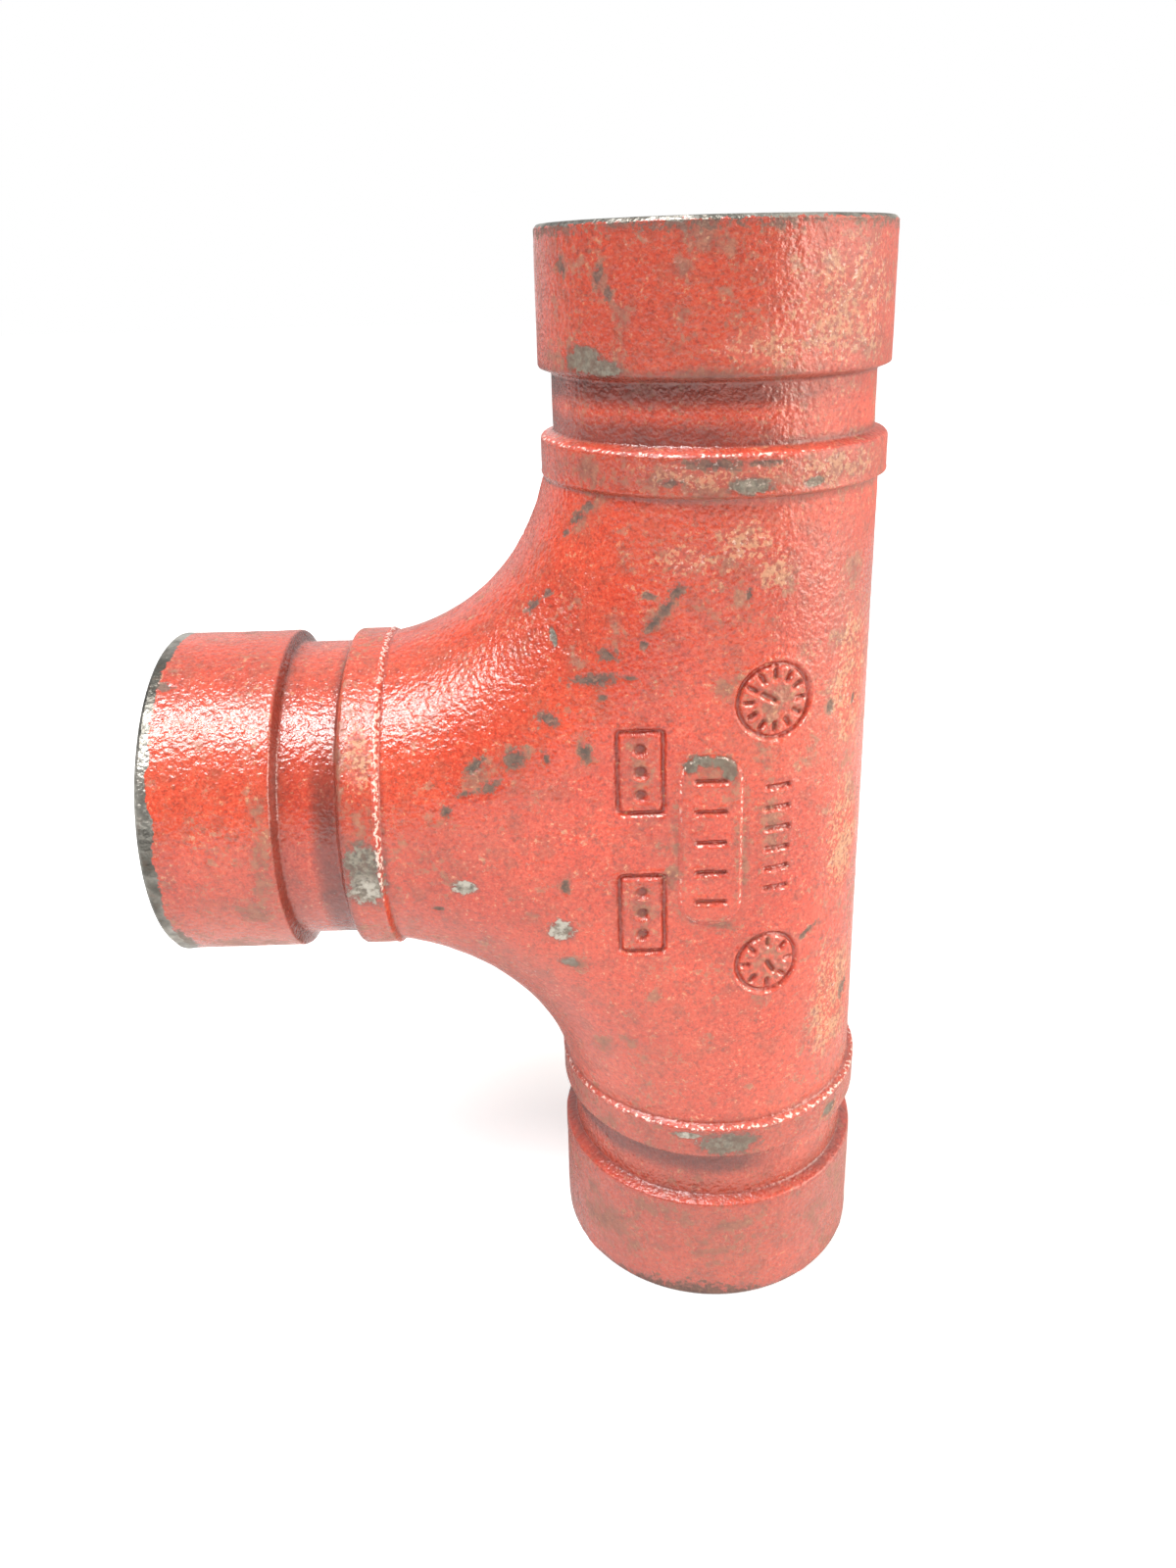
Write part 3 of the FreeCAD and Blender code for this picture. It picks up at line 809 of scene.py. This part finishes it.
def patch_field(points, patches):
    """
    How far inside the nearest worn patch each front point lies: 1 in its middle, 0 on its edge.
    A patch is (x, z, half width, half height, tilt in degrees if it has one).
    """
    field = np.full(len(points), -1.0)
    for out, up, half_width, half_height, *tilt in patches:
        angle = math.radians(sum(tilt))
        across = points[:, 0] - out
        rise = points[:, 2] - up
        first = (across * math.cos(angle) + rise * math.sin(angle)) / half_width
        second = (-across * math.sin(angle) + rise * math.cos(angle)) / half_height
        field = np.maximum(field, 1 - np.hypot(first, second))
    return np.where(points[:, 1] < 0, field, -1.0)


def band(value, centre, half):
    """1 at centre, 0 at half away from it and negative beyond."""
    return 1 - np.abs(value - centre) / half


def fade(value, start, full, most=1):
    """0 at start and before it, most at full and past it, and a smooth step between."""
    return most * smooth(start, full, value)


def uneven(points, strength, size, seed, octaves=3):
    """Rough noise of a given strength."""
    return strength * rough(points, size, seed, octaves)


def hidden_wear(points, noise):
    """Chips scattered over the sides that the photograph doesn't show."""
    return uneven(points, *noise) - np.where(points[:, 1] > 0, HIDDEN_LEVEL, NEVER)


def wear_field(points):
    """Above 0 where the paint has gone to dull grey iron."""
    return np.clip(np.maximum(patch_field(points, BARE), hidden_wear(points, BARE_LUMPS)), -1, 1)


def of_limb(values, limb):
    """Each point's own value out of those for the limbs above, below and on the branch."""
    return np.array(values, float)[limb]


def limb_lines(from_end, limb, rows):
    """The strongest of several soft lines round the limbs, from 0 to 1."""
    return np.maximum.reduce([
        np.clip(strength * band(from_end, place, half), 0, 1) * of_limb(shares, limb)
        for place, half, strength, shares in rows
    ])


def soiled_field(points):
    """Above 0 where old chips are filled with dark dirt."""
    from_end, _, limb = limb_place(points)
    height, soft = END_DIRT
    foot = (height - from_end + uneven(points, *FOOT_LUMPS)) / soft
    top = band(from_end, height, soft) - TOP_DIRT_SPARSE + uneven(points, *TOP_LUMPS)
    at_end = np.select([limb == ABOVE, limb == BELOW], [top, foot], -1)
    field = np.maximum(patch_field(points, SOILED), hidden_wear(points, SOILED_LUMPS))
    return np.clip(np.maximum(field, at_end), -1, 1)


def rim_field(points):
    """Above 0 where handling has worn the edges of the end faces to bright metal."""
    from_end, _, limb = limb_place(points)
    width = of_limb(RIM_WIDTHS, limb) * (1 + uneven(points, *RIM_LUMPS))
    return np.clip((width - from_end) / RIM_SOFT, -1, 1)


def crease_shade_and_dirt_field(points):
    """Dark lines and bands round the grooves and rings, from 0 to 1: painted shade in their roots and where
    the collars and rings shade the grooves, with dirt; and the limbs past the ring's foot, the run's
    grooves and the top made darker.
    """
    from_end, _, limb = limb_place(points)
    out, up = points[:, 0], points[:, 2]
    in_groove = (limb != BRANCH) & (from_end > SEAT_WIDTH) & (from_end < GROOVE_FROM_END)
    past_foot = smooth(-LIMB_DARKENING_SOFT, LIMB_DARKENING_SOFT, RING_FOOT_FROM_END - from_end)
    # The limbs past the ring's foot, the run's grooves and the top made darker
    darkening = np.where(in_groove, GROOVE_DARKENING, of_limb(LIMB_DARKENING, limb) * past_foot)
    darkening = np.maximum(darkening, fade(up, *TOP_DARKENING_FADE))
    near_share = np.where(limb == BRANCH, fade(up, *BRANCH_SHADE_FADE), fade(out, *RUN_SHADE_FADE))
    clean_wall = fade(GROOVE_FROM_END - from_end, *UPPER_SHADE_FADE)
    near_share = near_share * np.where(limb == ABOVE, clean_wall, 1)
    far_share = np.where(limb == ABOVE, 1 - fade(out, *FAR_SHADE_LOSS), FAR_SHADE_LOWER)
    # Painted shade in the roots and where collars and rings shade the grooves, with dirt
    lines = np.maximum.reduce([
        limb_lines(from_end, limb, SHADED_CREASES),
        limb_lines(from_end, limb, NEAR_SHADES) * near_share,
        limb_lines(from_end, limb, FAR_SHADES) * far_share,
    ])
    return np.where(is_outside(points), np.clip(lines + darkening, 0, 1), 0)


def rubbed_edges_and_glints(points):
    """Above 0 on those edges of rings, collars and marks that are rubbed clean; on their crests go painted
    highlight specks.
    """
    from_end, _, limb = limb_place(points)
    out, up = points[:, 0], points[:, 2]
    ring_share = np.where(limb == BRANCH, fade(up, *BRANCH_EDGE_FADE), limb == BELOW)
    upper_share = (limb == ABOVE) * (UPPER_EDGE_LEAST + fade(out, *UPPER_EDGE_FADE))
    collar = band(from_end, *COLLAR_EDGE) * (limb == BELOW)
    edges = np.maximum.reduce([
        band(from_end, *RING_EDGE) * ring_share,
        band(from_end, *UPPER_EDGE) * upper_share,
        np.clip(collar, 0, COLLAR_EDGE_MOST),
    ])
    plan = face_plan(points)
    below = np.clip(STROKE_EDGE_BASE - STROKE_EDGE_LEAN * stroke_side(plan), 0, 1)
    beside_marks = band(stroke_distance(plan), MARK_HALF_WIDTH, STROKE_EDGE_HALF) * below
    beside_pad = band(to_box(plan, PAD_CENTRE, PAD_HALF, PAD_CORNER), 0, PAD_EDGE_HALF)
    in_marks = np.where(in_marks_field(points), np.maximum(beside_marks, beside_pad), 0)
    return np.clip(EDGE_STRENGTH * np.maximum(edges, in_marks), 0, EDGE_MOST)


def dust_field(points):
    """How much grey-brown dust and dirt lies on the paint, from 0 to 1."""
    from_end, _, limb = limb_place(points)
    groove_dust = GROOVE_DUST + uneven(points, *GROOVE_LUMPS)
    in_groove = limb_lines(from_end, limb, DUSTY_CORNERS) * groove_dust
    on_ring = (from_end > GROOVE_FROM_END) & (from_end < RING_FOOT_FROM_END)
    base = np.select([from_end < SEAT_WIDTH, on_ring], [of_limb(COLLAR_DUST, limb), RING_DUST], BODY_DUST)
    mottle = base + fade(points[:, 0], *RIGHT_DUST) + sum(uneven(points, *noise) for noise in DUST_LUMPS)
    chips = np.maximum(patch_field(points, SOILED), patch_field(points, BARE)) - CHIP_DUST_LESS
    placed = PATCH_DUST + np.maximum(
        STAIN_DUST * np.maximum(patch_field(points, STAINS), chips),
        SPECKLED_DUST * patch_field(points, SPECKLED),
    )
    pad = to_box(face_plan(points), PAD_CENTRE, PAD_HALF, PAD_CORNER)
    on_marks = MARKS_DUST + PAD_DUST * band(pad, *PAD_DUST_BAND)
    placed = np.maximum(placed, np.where(in_marks_field(points), on_marks, 0))
    at_rim = limb_lines(from_end, limb, DUSTY_RIM) * (points[:, 2] > 0)
    dust = np.clip(np.maximum.reduce([in_groove, mottle, placed, RIM_DUST * at_rim]), 0, 1)
    return dust * (1 - EDGE_DUST_LOSS * np.clip(rubbed_edges_and_glints(points), 0, 1))


def speckle_field(points):
    """Where fine ochre specks of old rust and mortar sit, from 0 to 1. Painted highlight specks go there
    too.
    """
    placed = np.clip(patch_field(points, SPECKLED) * SPECKLE_CONTRAST, 0, 1)
    elsewhere = np.clip(uneven(points, *SPECKLE_LUMPS) - SPECKLE_LEVEL, 0, 1)
    return np.maximum(placed, elsewhere)


def matte_field(points):
    """1 where the upper limb's right side has gone dull, and 0 elsewhere."""
    return fade(points[:, 0], *MATTE_OUT) * fade(points[:, 2], *MATTE_UP) * (points[:, 1] < 0)


def haze_and_reflection_field(points, normals):
    """Pale film on the paint, from 0 to 1, in broad patches and paler towards the bottom; more where the
    surface faces down, as a painted reflection of the white floor.
    """
    haze = HAZE_BASE + fade(-normals[:, 2], *PAINTED_FLOOR_REFLECTION) + fade(points[:, 2], *PALER_TOWARDS_BOTTOM)
    haze = np.clip(haze + uneven(points, *HAZE_LUMPS), 0, 1)
    return haze * (1 - EDGE_HAZE_LOSS * np.clip(rubbed_edges_and_glints(points), 0, 1))


def stroke_side(plan):
    """1 straight above the nearest stroke's middle line, -1 below it and 0 beside it."""
    step = np.array([0, STROKE_STEP])
    rise = stroke_distance(plan + step) - stroke_distance(plan - step)
    return np.clip(rise / (2 * STROKE_STEP), -1, 1)


def cut_shade_field(points):
    """How dark the painted shade in the cut lines of the marks is: most under their upper edges, where a
    shadow falls, and 0 away from them.
    """
    plan = face_plan(points)
    stroke = stroke_distance(plan) + uneven(points, *DARK_STROKE_LUMPS)
    depth = 1 - smooth(MARK_HALF_WIDTH * DARK_STROKE_CORE, MARK_HALF_WIDTH * DARK_STROKE_END, stroke)
    shaded = depth * (1 - STROKE_SHADE + STROKE_SHADE * stroke_side(plan))
    return np.where(in_marks_field(points), shaded, 0)


def displacement(points):
    """How far the surface stands off its plain form, in mm: below 0 is into the metal."""
    from_end = limb_place(points)[0]
    skin = sum(uneven(points, *noise) for noise in CAST_SKIN)
    seam = SEAM_HEIGHT * np.exp(-(points[:, 1] / SEAM_WIDTH) ** 2)
    seam = seam * (SEAM_LEAST + uneven(points, *SEAM_LUMPS))
    seam = seam * (1 - fade(RING_FOOT_FROM_END - from_end, *SEAM_END))
    gone = np.maximum(wear_field(points), soiled_field(points)) + uneven(points, *CHIP_LUMPS)
    loss = fade(gone, *CHIP_WALL) * fade(from_end, *CHIP_FREE)
    bead = BEAD_HEIGHT * np.clip(band(from_end, *BEAD_BAND), 0, 1)
    plan = face_plan(points)
    stroke = stroke_distance(plan) + uneven(points, *STROKE_LUMPS)
    cut = MARK_DEPTH * (1 - smooth(MARK_HALF_WIDTH * STROKE_CORE, MARK_HALF_WIDTH, stroke))
    lip = MARK_LIP * np.clip(band(stroke, *LIP_BAND), 0, 1)
    marks = np.where(in_marks_field(points), lip - cut + pad_height(plan), 0)
    outer = (skin - SKIN_DEPTH) * fade(from_end, *SKIN_FREE) + bead + seam - loss + marks
    inner = sum(uneven(points, *noise) for noise in WATERWAY_SKIN) * fade(from_end, *WATERWAY_FREE)
    return np.where(is_outside(points), outer, inner)


def add_field(data, name, values):
    attribute = data.attributes.new(name, "FLOAT", "POINT")
    attribute.data.foreach_set("value", values.astype(np.float32))


def hold_in_box(points):
    """Keep the limbs within the pipe's radius, and everything within the run's and the branch's reach."""
    from_end, radial, limb = limb_place(points)
    on_limb = from_end < RING_FOOT_FROM_END
    on_branch = limb == BRANCH
    shrink = np.where(on_limb & (radial > PIPE), PIPE / radial, 1.0)
    held = points.copy()
    held[:, 1] *= shrink
    held[:, 0] = np.where(on_branch, points[:, 0], points[:, 0] * shrink)
    held[:, 2] = np.where(on_branch, points[:, 2] * shrink, points[:, 2])
    held[:, 0] = np.clip(held[:, 0], -BRANCH_REACH, PIPE)
    held[:, 2] = np.clip(held[:, 2], -RUN_REACH, RUN_REACH)
    return held


def read_points(mesh):
    return np.array([vert.co[:] for vert in mesh.verts]) / MM


def build_tee():
    mesh = raw_mesh()
    refine(mesh)
    bmesh.ops.recalc_face_normals(mesh, faces=mesh.faces)
    data = bpy.data.meshes.new("grooved_tee")
    mesh.to_mesh(data)
    mesh.free()
    points = np.empty(len(data.vertices) * 3)
    data.vertices.foreach_get("co", points)
    points = points.reshape(-1, 3) / MM
    normals = np.empty(len(data.vertices) * 3)
    data.vertex_normals.foreach_get("vector", normals)
    normals = normals.reshape(-1, 3)
    for name, make_field in (
        ("wear", wear_field),
        ("dust", dust_field),
        ("soiled", soiled_field),
        ("rim", rim_field),
        # painted shade and dirt round the grooves
        ("crease", crease_shade_and_dirt_field),
        ("speckle", speckle_field),
        ("matte", matte_field),
        # painted shade in the cut lines of the marks
        ("cut", cut_shade_field),
    ):
        add_field(data, name, make_field(points))
    # pale film with a painted reflection of the white floor
    add_field(data, "haze", haze_and_reflection_field(points, normals))
    add_field(data, "bright", np.clip(BRIGHT_CONTRAST * patch_field(points, BRIGHT), 0, 1))
    # rubbed edges, with painted highlight specks on their crests
    add_field(data, "edge", np.where(is_outside(points), rubbed_edges_and_glints(points), 0))
    add_field(data, "waterway", 1 - is_outside(points).astype(float))
    moved = hold_in_box(points + normals * displacement(points)[:, None])
    data.vertices.foreach_set("co", (moved * MM).ravel())
    data.polygons.foreach_set("use_smooth", np.ones(len(data.polygons), bool))
    data.update()
    tee = bpy.data.objects.new("grooved_tee", data)
    bpy.context.scene.collection.objects.link(tee)
    return tee


def add_camera():
    """The photograph's camera, fitted to the outline: place, aim and roll in the frame's axes."""
    place = Vector((-16.641, -145.848, 65.307)) * MM
    yaw, pitch, roll = 0.0125, -0.3395, -0.0252
    focal_pixels = 1199.23
    centre_from_left, centre_from_top = 609.54, 694.26
    photo_width, photo_height = 1200, 1600
    sensor = 36
    nearest_seen = 0.01
    forward = Vector((
        math.sin(yaw) * math.cos(pitch),
        math.cos(yaw) * math.cos(pitch),
        math.sin(pitch),
    ))
    level_right = Vector((math.cos(yaw), -math.sin(yaw), 0))
    level_up = level_right.cross(forward)
    right = math.cos(roll) * level_right + math.sin(roll) * level_up
    up = -math.sin(roll) * level_right + math.cos(roll) * level_up
    data = bpy.data.cameras.new("camera")
    data.sensor_fit = "VERTICAL"
    data.sensor_height = sensor
    data.lens = focal_pixels / photo_height * sensor
    data.shift_x = (photo_width / 2 - centre_from_left) / photo_height
    data.shift_y = (centre_from_top - photo_height / 2) / photo_height
    data.clip_start = nearest_seen
    camera = bpy.data.objects.new("camera", data)
    turn = Matrix((right, up, -forward)).transposed()
    camera.matrix_world = Matrix.Translation(place) @ turn.to_4x4()
    bpy.context.scene.collection.objects.link(camera)
    bpy.context.scene.camera = camera


def add_area_light(name, towards, distance, size, power, colour):
    """A soft square lamp in a direction from the object, aimed at it."""
    data = bpy.data.lights.new(name, "AREA")
    data.shape = "RECTANGLE"
    data.size, data.size_y = size
    data.energy = power
    data.color = colour
    lamp = bpy.data.objects.new(name, data)
    direction = Vector(towards).normalized()
    lamp.location = direction * distance
    lamp.rotation_euler = direction.to_track_quat("Z", "Y").to_euler()
    bpy.context.scene.collection.objects.link(lamp)


def add_world():
    """
    White all round to the camera. Reflections show that white behind and beside the object, and
    elsewhere a dimmer room. The ambient light is even.
    """
    world = bpy.data.worlds.new("studio")
    bpy.context.scene.world = world
    world.use_nodes = True
    make = Shading(world.node_tree)
    make.tree.nodes.clear()
    rays = make.node("LightPath").outputs
    seen = make.larger(rays["Is Camera Ray"], rays["Is Glossy Ray"])
    seen = make.larger(seen, rays["Is Transmission Ray"])
    toward = make.node("TexCoord").outputs["Generated"]
    facing = make.vector("DOT_PRODUCT", toward, "Value", BACKDROP_SIDE)
    behind = make.larger(make.ramp(facing, *BACKDROP_FADE), rays["Is Camera Ray"])
    soft = make.node("Background")
    soft.inputs["Color"].default_value = WHITE
    soft.inputs["Strength"].default_value = AMBIENT_STRENGTH
    white = make.node("Background")
    white.inputs["Color"].default_value = WHITE
    make.join(white.inputs["Strength"], make.between(behind, ROOM_STRENGTH, 1.0))
    mixed = make.choose(seen, soft.outputs[0], white.outputs[0])
    make.join(make.node("OutputWorld").inputs["Surface"], mixed)


def add_floor():
    """
    A plain pale floor. It keeps the shadow. The lift, which only the camera sees, brings its lit
    part up to white near the object and where the lamps hardly reach.
    """
    low, high = -FLOOR_HALF, FLOOR_HALF
    height = -RUN_REACH * MM
    data = bpy.data.meshes.new("floor")
    corners = [(low, low, height), (high, low, height), (high, high, height), (low, high, height)]
    data.from_pydata(corners, [], [(0, 1, 2, 3)])
    floor = bpy.data.objects.new("floor", data)
    bpy.context.scene.collection.objects.link(floor)
    material = bpy.data.materials.new("pale_floor")
    material.use_nodes = True
    make = Shading(material.node_tree)
    make.tree.nodes.clear()
    diffuse = make.node("BsdfDiffuse")
    diffuse.inputs["Color"].default_value = FLOOR_COLOUR
    away = make.vector("LENGTH", make.node("TexCoord").outputs["Object"], "Value")
    glow = make.node("Emission")
    make.join(glow.inputs["Strength"], make.between(make.ramp(away, *LIFT_FADE), *FLOOR_LIFT))
    dark = make.node("Emission")
    dark.inputs["Strength"].default_value = 0
    camera_ray = make.node("LightPath").outputs["Is Camera Ray"]
    both = make.node("AddShader")
    make.join(both.inputs[0], diffuse.outputs[0])
    make.join(both.inputs[1], make.choose(camera_ray, dark.outputs[0], glow.outputs[0]))
    make.join(make.node("OutputMaterial").inputs["Surface"], both.outputs[0])
    data.materials.append(material)


class Shading:
    """Sums, ramps, noises and colours in one node tree."""

    def __init__(self, tree):
        self.tree = tree
        self.noise = {}

    def node(self, kind):
        return self.tree.nodes.new("ShaderNode" + kind)

    def join(self, socket, value):
        """Link a socket to a noise by its name or to a node's output, or set it to a plain value."""
        value = self.noise.get(value, value) if isinstance(value, str) else value
        if isinstance(value, bpy.types.NodeSocket):
            self.tree.links.new(value, socket)
        else:
            socket.default_value = value

    def calculate(self, operation, first, second):
        node = self.node("Math")
        node.operation = operation
        self.join(node.inputs[0], first)
        self.join(node.inputs[1], second)
        return node.outputs[0]

    def times(self, first, second):
        return self.calculate("MULTIPLY", first, second)

    def plus(self, first, second):
        return self.calculate("ADD", first, second)

    def larger(self, first, second):
        return self.calculate("MAXIMUM", first, second)

    def field(self, name):
        """The value that the mesh carries under a name."""
        node = self.node("Attribute")
        node.attribute_name = name
        return node.outputs["Fac"]

    def ramp(self, value, low, high, most=1.0):
        """0 at low and before it, most at high and past it, and a smooth step between."""
        node = self.node("MapRange")
        node.interpolation_type = "SMOOTHSTEP"
        self.join(node.inputs["Value"], value)
        node.inputs["From Min"].default_value = low
        node.inputs["From Max"].default_value = high
        node.inputs["To Max"].default_value = most
        return node.outputs["Result"]

    def between(self, value, low, high):
        """The value 0 to 1 turned into low to high."""
        node = self.node("MapRange")
        self.join(node.inputs["Value"], value)
        node.inputs["To Min"].default_value = low
        node.inputs["To Max"].default_value = high
        return node.outputs["Result"]

    def tint(self, share, first, second):
        """A colour between first and second."""
        node = self.node("Mix")
        node.data_type = "RGBA"
        self.join(node.inputs[0], share)
        self.join(node.inputs[6], first)
        self.join(node.inputs[7], second)
        return node.outputs[2]

    def coats(self, colour, rows):
        """Lay coats over a colour, each a (noise, ramp, colour)."""
        for name, ramp, coat in rows:
            colour = self.tint(self.ramp(name, *ramp), colour, coat)
        return colour

    def vector(self, operation, first, name, second=None):
        """The output of that name of a sum with one or two vectors."""
        node = self.node("VectorMath")
        node.operation = operation
        self.join(node.inputs[0], first)
        if second is not None:
            self.join(node.inputs[1], second)
        return node.outputs[name]

    def grain(self, place, size, detail, shift, roughness):
        """Noise from 0 to 1 with grains of about size, in mm. A shift makes it independent of others."""
        node = self.node("TexNoise")
        offset = (shift, shift * SHIFT_SIDEWAYS, -shift)
        self.join(node.inputs["Vector"], self.vector("ADD", place, "Vector", offset))
        node.inputs["Scale"].default_value = 1 / size
        node.inputs["Detail"].default_value = detail
        node.inputs["Roughness"].default_value = roughness
        return node.outputs[0]

    def pebbles(self, place, size):
        """Distance to the middle of the nearest of many small cells, from 0 to about 1."""
        node = self.node("TexVoronoi")
        node.feature = "SMOOTH_F1"
        self.join(node.inputs["Vector"], place)
        node.inputs["Scale"].default_value = 1 / size
        node.inputs["Smoothness"].default_value = PEBBLE_SMOOTHNESS
        return node.outputs["Distance"]

    def bump(self, height, distance, normal=None):
        node = self.node("Bump")
        node.inputs["Distance"].default_value = distance * MM
        self.join(node.inputs["Height"], height)
        if normal is not None:
            self.join(node.inputs["Normal"], normal)
        return node.outputs["Normal"]

    def choose(self, share, first, second):
        """A mix of two shaders."""
        node = self.node("MixShader")
        self.join(node.inputs["Fac"], share)
        self.join(node.inputs[1], first)
        self.join(node.inputs[2], second)
        return node.outputs[0]


def clean_paint(make):
    """Red paint with pale and dark flecks under a pale film, partly a painted reflection of the white
    floor.
    """
    red = make.tint(make.ramp("broad", *WARM_AREAS), RED_DEEP, RED_WARM)
    flecks = make.times(make.ramp("fine", *PALE_FLECKS), make.between("middle", *FLECK_DRIFT))
    red = make.coats(make.tint(flecks, red, RED_PALE), FLECK_COATS)
    return make.tint(make.times(make.field("haze"), make.between("middle", *HAZE_DRIFT)), red, HAZE_AND_REFLECTION)


def grime_share(make):
    """How much dirt covers the paint: an even film, and patches with ragged edges."""
    dust = make.field("dust")
    uneven = make.plus(make.between("blotches", *GRIME_BLOTCHES), make.between("ragged", *GRIME_RAGGED))
    patchy = make.times(make.ramp(make.plus(dust, uneven), *GRIME_EDGE), make.between("fine", *GRIME_GRAIN))
    return make.larger(make.times(dust, GRIME_FILM), patchy)


def dirty_paint(make, colour, grimy):
    """The paint with dirt, filled pits, cut lines darkened with painted shade, and ochre specks on it."""
    speckle = make.field("speckle")
    colour = make.tint(grimy, colour, make.coats(DUST_DARK, DIRT_COATS))
    pits = make.times(make.ramp("pits", *PIT_EDGE), make.between("blotches", *PIT_DRIFT))
    pits = make.plus(pits, make.times(pits, speckle))
    colour = make.coats(make.tint(pits, colour, DUST_DARK), CLOUD_COATS)
    # Painted shade in the cut lines, most under their upper edges
    cut = make.times(make.field("cut"), make.between("ragged", *CUT_DRIFT))
    colour = make.tint(cut, colour, CUT_SHADE)
    specks = make.plus("fine", make.times(speckle, OCHRE_SPECKLE))
    specks = make.plus(specks, make.between("blotches", *OCHRE_DRIFT))
    return make.tint(make.ramp(specks, *OCHRE_EDGE), colour, OCHRE)


def rim_colour(make):
    """The worn metal of the end faces, with brown spots."""
    uneven = make.plus(make.between("broad", *METAL_BROAD), make.between("middle", *METAL_MIDDLE))
    return make.coats(make.tint(make.ramp(uneven, *METAL_TONES), METAL_DARK, METAL_PALE), METAL_COATS)


def paint_material():
    """Red gloss paint over rough cast iron: dusty, chipped to grey metal, with a bare dark waterway."""
    material = bpy.data.materials.new("red_paint")
    material.use_nodes = True
    make = Shading(material.node_tree)
    shader = make.tree.nodes["Principled BSDF"]
    to_mm = make.node("VectorMath")
    to_mm.operation = "SCALE"
    make.join(to_mm.inputs[0], make.node("TexCoord").outputs["Object"])
    to_mm.inputs["Scale"].default_value = 1 / MM
    place = to_mm.outputs[0]
    make.noise = {name: make.grain(place, *settings) for name, settings in NOISES.items()}
    grimy = grime_share(make)
    colour = dirty_paint(make, clean_paint(make), grimy)

    # Old chips filled with dirt, with ragged edges
    frayed = make.plus(make.between("ragged", *FRAY_RAGGED), make.between("fine", *FRAY_FINE))
    torn = make.plus(frayed, make.between("fine", *SOIL_FRAY))
    soiled = make.ramp(make.plus(make.field("soiled"), torn), *SOIL_EDGE)
    cover = make.times(soiled, make.between("fine", *SOIL_COVER))
    colour = make.tint(cover, colour, make.coats(SOIL_DARK, SOIL_COATS))

    # Painted shade in the roots of the grooves and where collars and rings shade them, with dirt, and the
    # darker limbs
    crease = make.times(make.field("crease"), make.between("middle", *CREASE_DRIFT))
    colour = make.tint(make.times(crease, CREASE_COVER), colour, CREASE_SHADE_AND_DIRT)

    # Dull iron with a dark line round it
    worn = make.plus(make.field("wear"), make.times(frayed, WEAR_FRAY))
    colour = make.tint(make.ramp(worn, *CHIP_SHADOW), colour, CHIP_EDGE)
    bare = make.ramp(worn, *BARE_EDGE)
    lit = make.times(make.field("bright"), make.ramp("ragged", *BRIGHT_SPOTS))
    iron = make.tint(lit, make.coats(IRON_DARK, IRON_COATS), CHIP_PALE)
    colour = make.tint(bare, colour, iron)

    # Painted highlight specks on the crests of rubbed edges and in the ochre specks
    edge = make.field("edge")
    crest = make.ramp(edge, *CREST_EDGE)
    sparse = make.plus("sparse", make.times(edge, CREST_LIFT))
    painted_glint_dots = make.times(crest, make.ramp(sparse, *CREST_GLINT_DOTS))
    painted_glints = make.times(make.field("speckle"), make.ramp(sparse, *SPECK_PAINTED_GLINTS))
    painted_glint_dots = make.larger(painted_glint_dots, painted_glints)
    colour = make.tint(make.times(painted_glint_dots, PAINTED_GLINT_COVER), colour, PAINTED_GLINT)

    # Worn rims, and the waterway's raw iron with rust
    rim = make.ramp(make.plus(make.field("rim"), make.between("ragged", *RIM_FRAY)), *RIM_EDGE)
    colour = make.tint(rim, colour, rim_colour(make))
    inside = make.field("waterway")
    make.join(shader.inputs["Base Color"], make.tint(inside, colour, make.coats(WATERWAY, RUST_COATS)))

    shine = make.larger(rim, make.times(bare, BARE_SHINE))
    make.join(shader.inputs["Metallic"], make.times(shine, make.calculate("SUBTRACT", 1.0, inside)))
    rubbed = make.ramp(edge, *EDGE_DULLNESS)
    dullness = make.between(grimy, *PAINT_DULLNESS)
    dullness = make.plus(dullness, make.between("middle", *DULLNESS_DRIFT))
    for share, most in (
        (make.field("matte"), MATTE_DULLNESS),
        (make.calculate("SUBTRACT", crest, painted_glint_dots), CREST_DULLNESS),
        (rubbed, 1.0),
        (make.field("speckle"), SPECKLE_DULLNESS),
        (soiled, SOIL_DULLNESS),
        (bare, BARE_DULLNESS),
        (rim, RIM_DULLNESS),
        (inside, WATERWAY_DULLNESS),
    ):
        dullness = make.larger(dullness, make.times(share, most))
    make.join(shader.inputs["Roughness"], dullness)
    shader.inputs["Specular IOR Level"].default_value = PAINT_SPECULAR

    skin = make.bump("skin", SKIN_BUMP)
    skin = make.bump(make.pebbles(place, PEBBLE_SIZE), PEBBLE_BUMP, skin)
    skin = make.bump("finest", FINEST_BUMP, skin)
    make.join(shader.inputs["Normal"], skin)
    return material


def main():
    add_camera()
    tee = build_tee()
    tee.data.materials.append(paint_material())
    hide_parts(NODE)
    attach(tee, BODY)
    add_floor()
    add_world()
    for lamp in LAMPS:
        add_area_light(*lamp)
    bpy.context.scene.view_settings.view_transform = "Standard"


main()
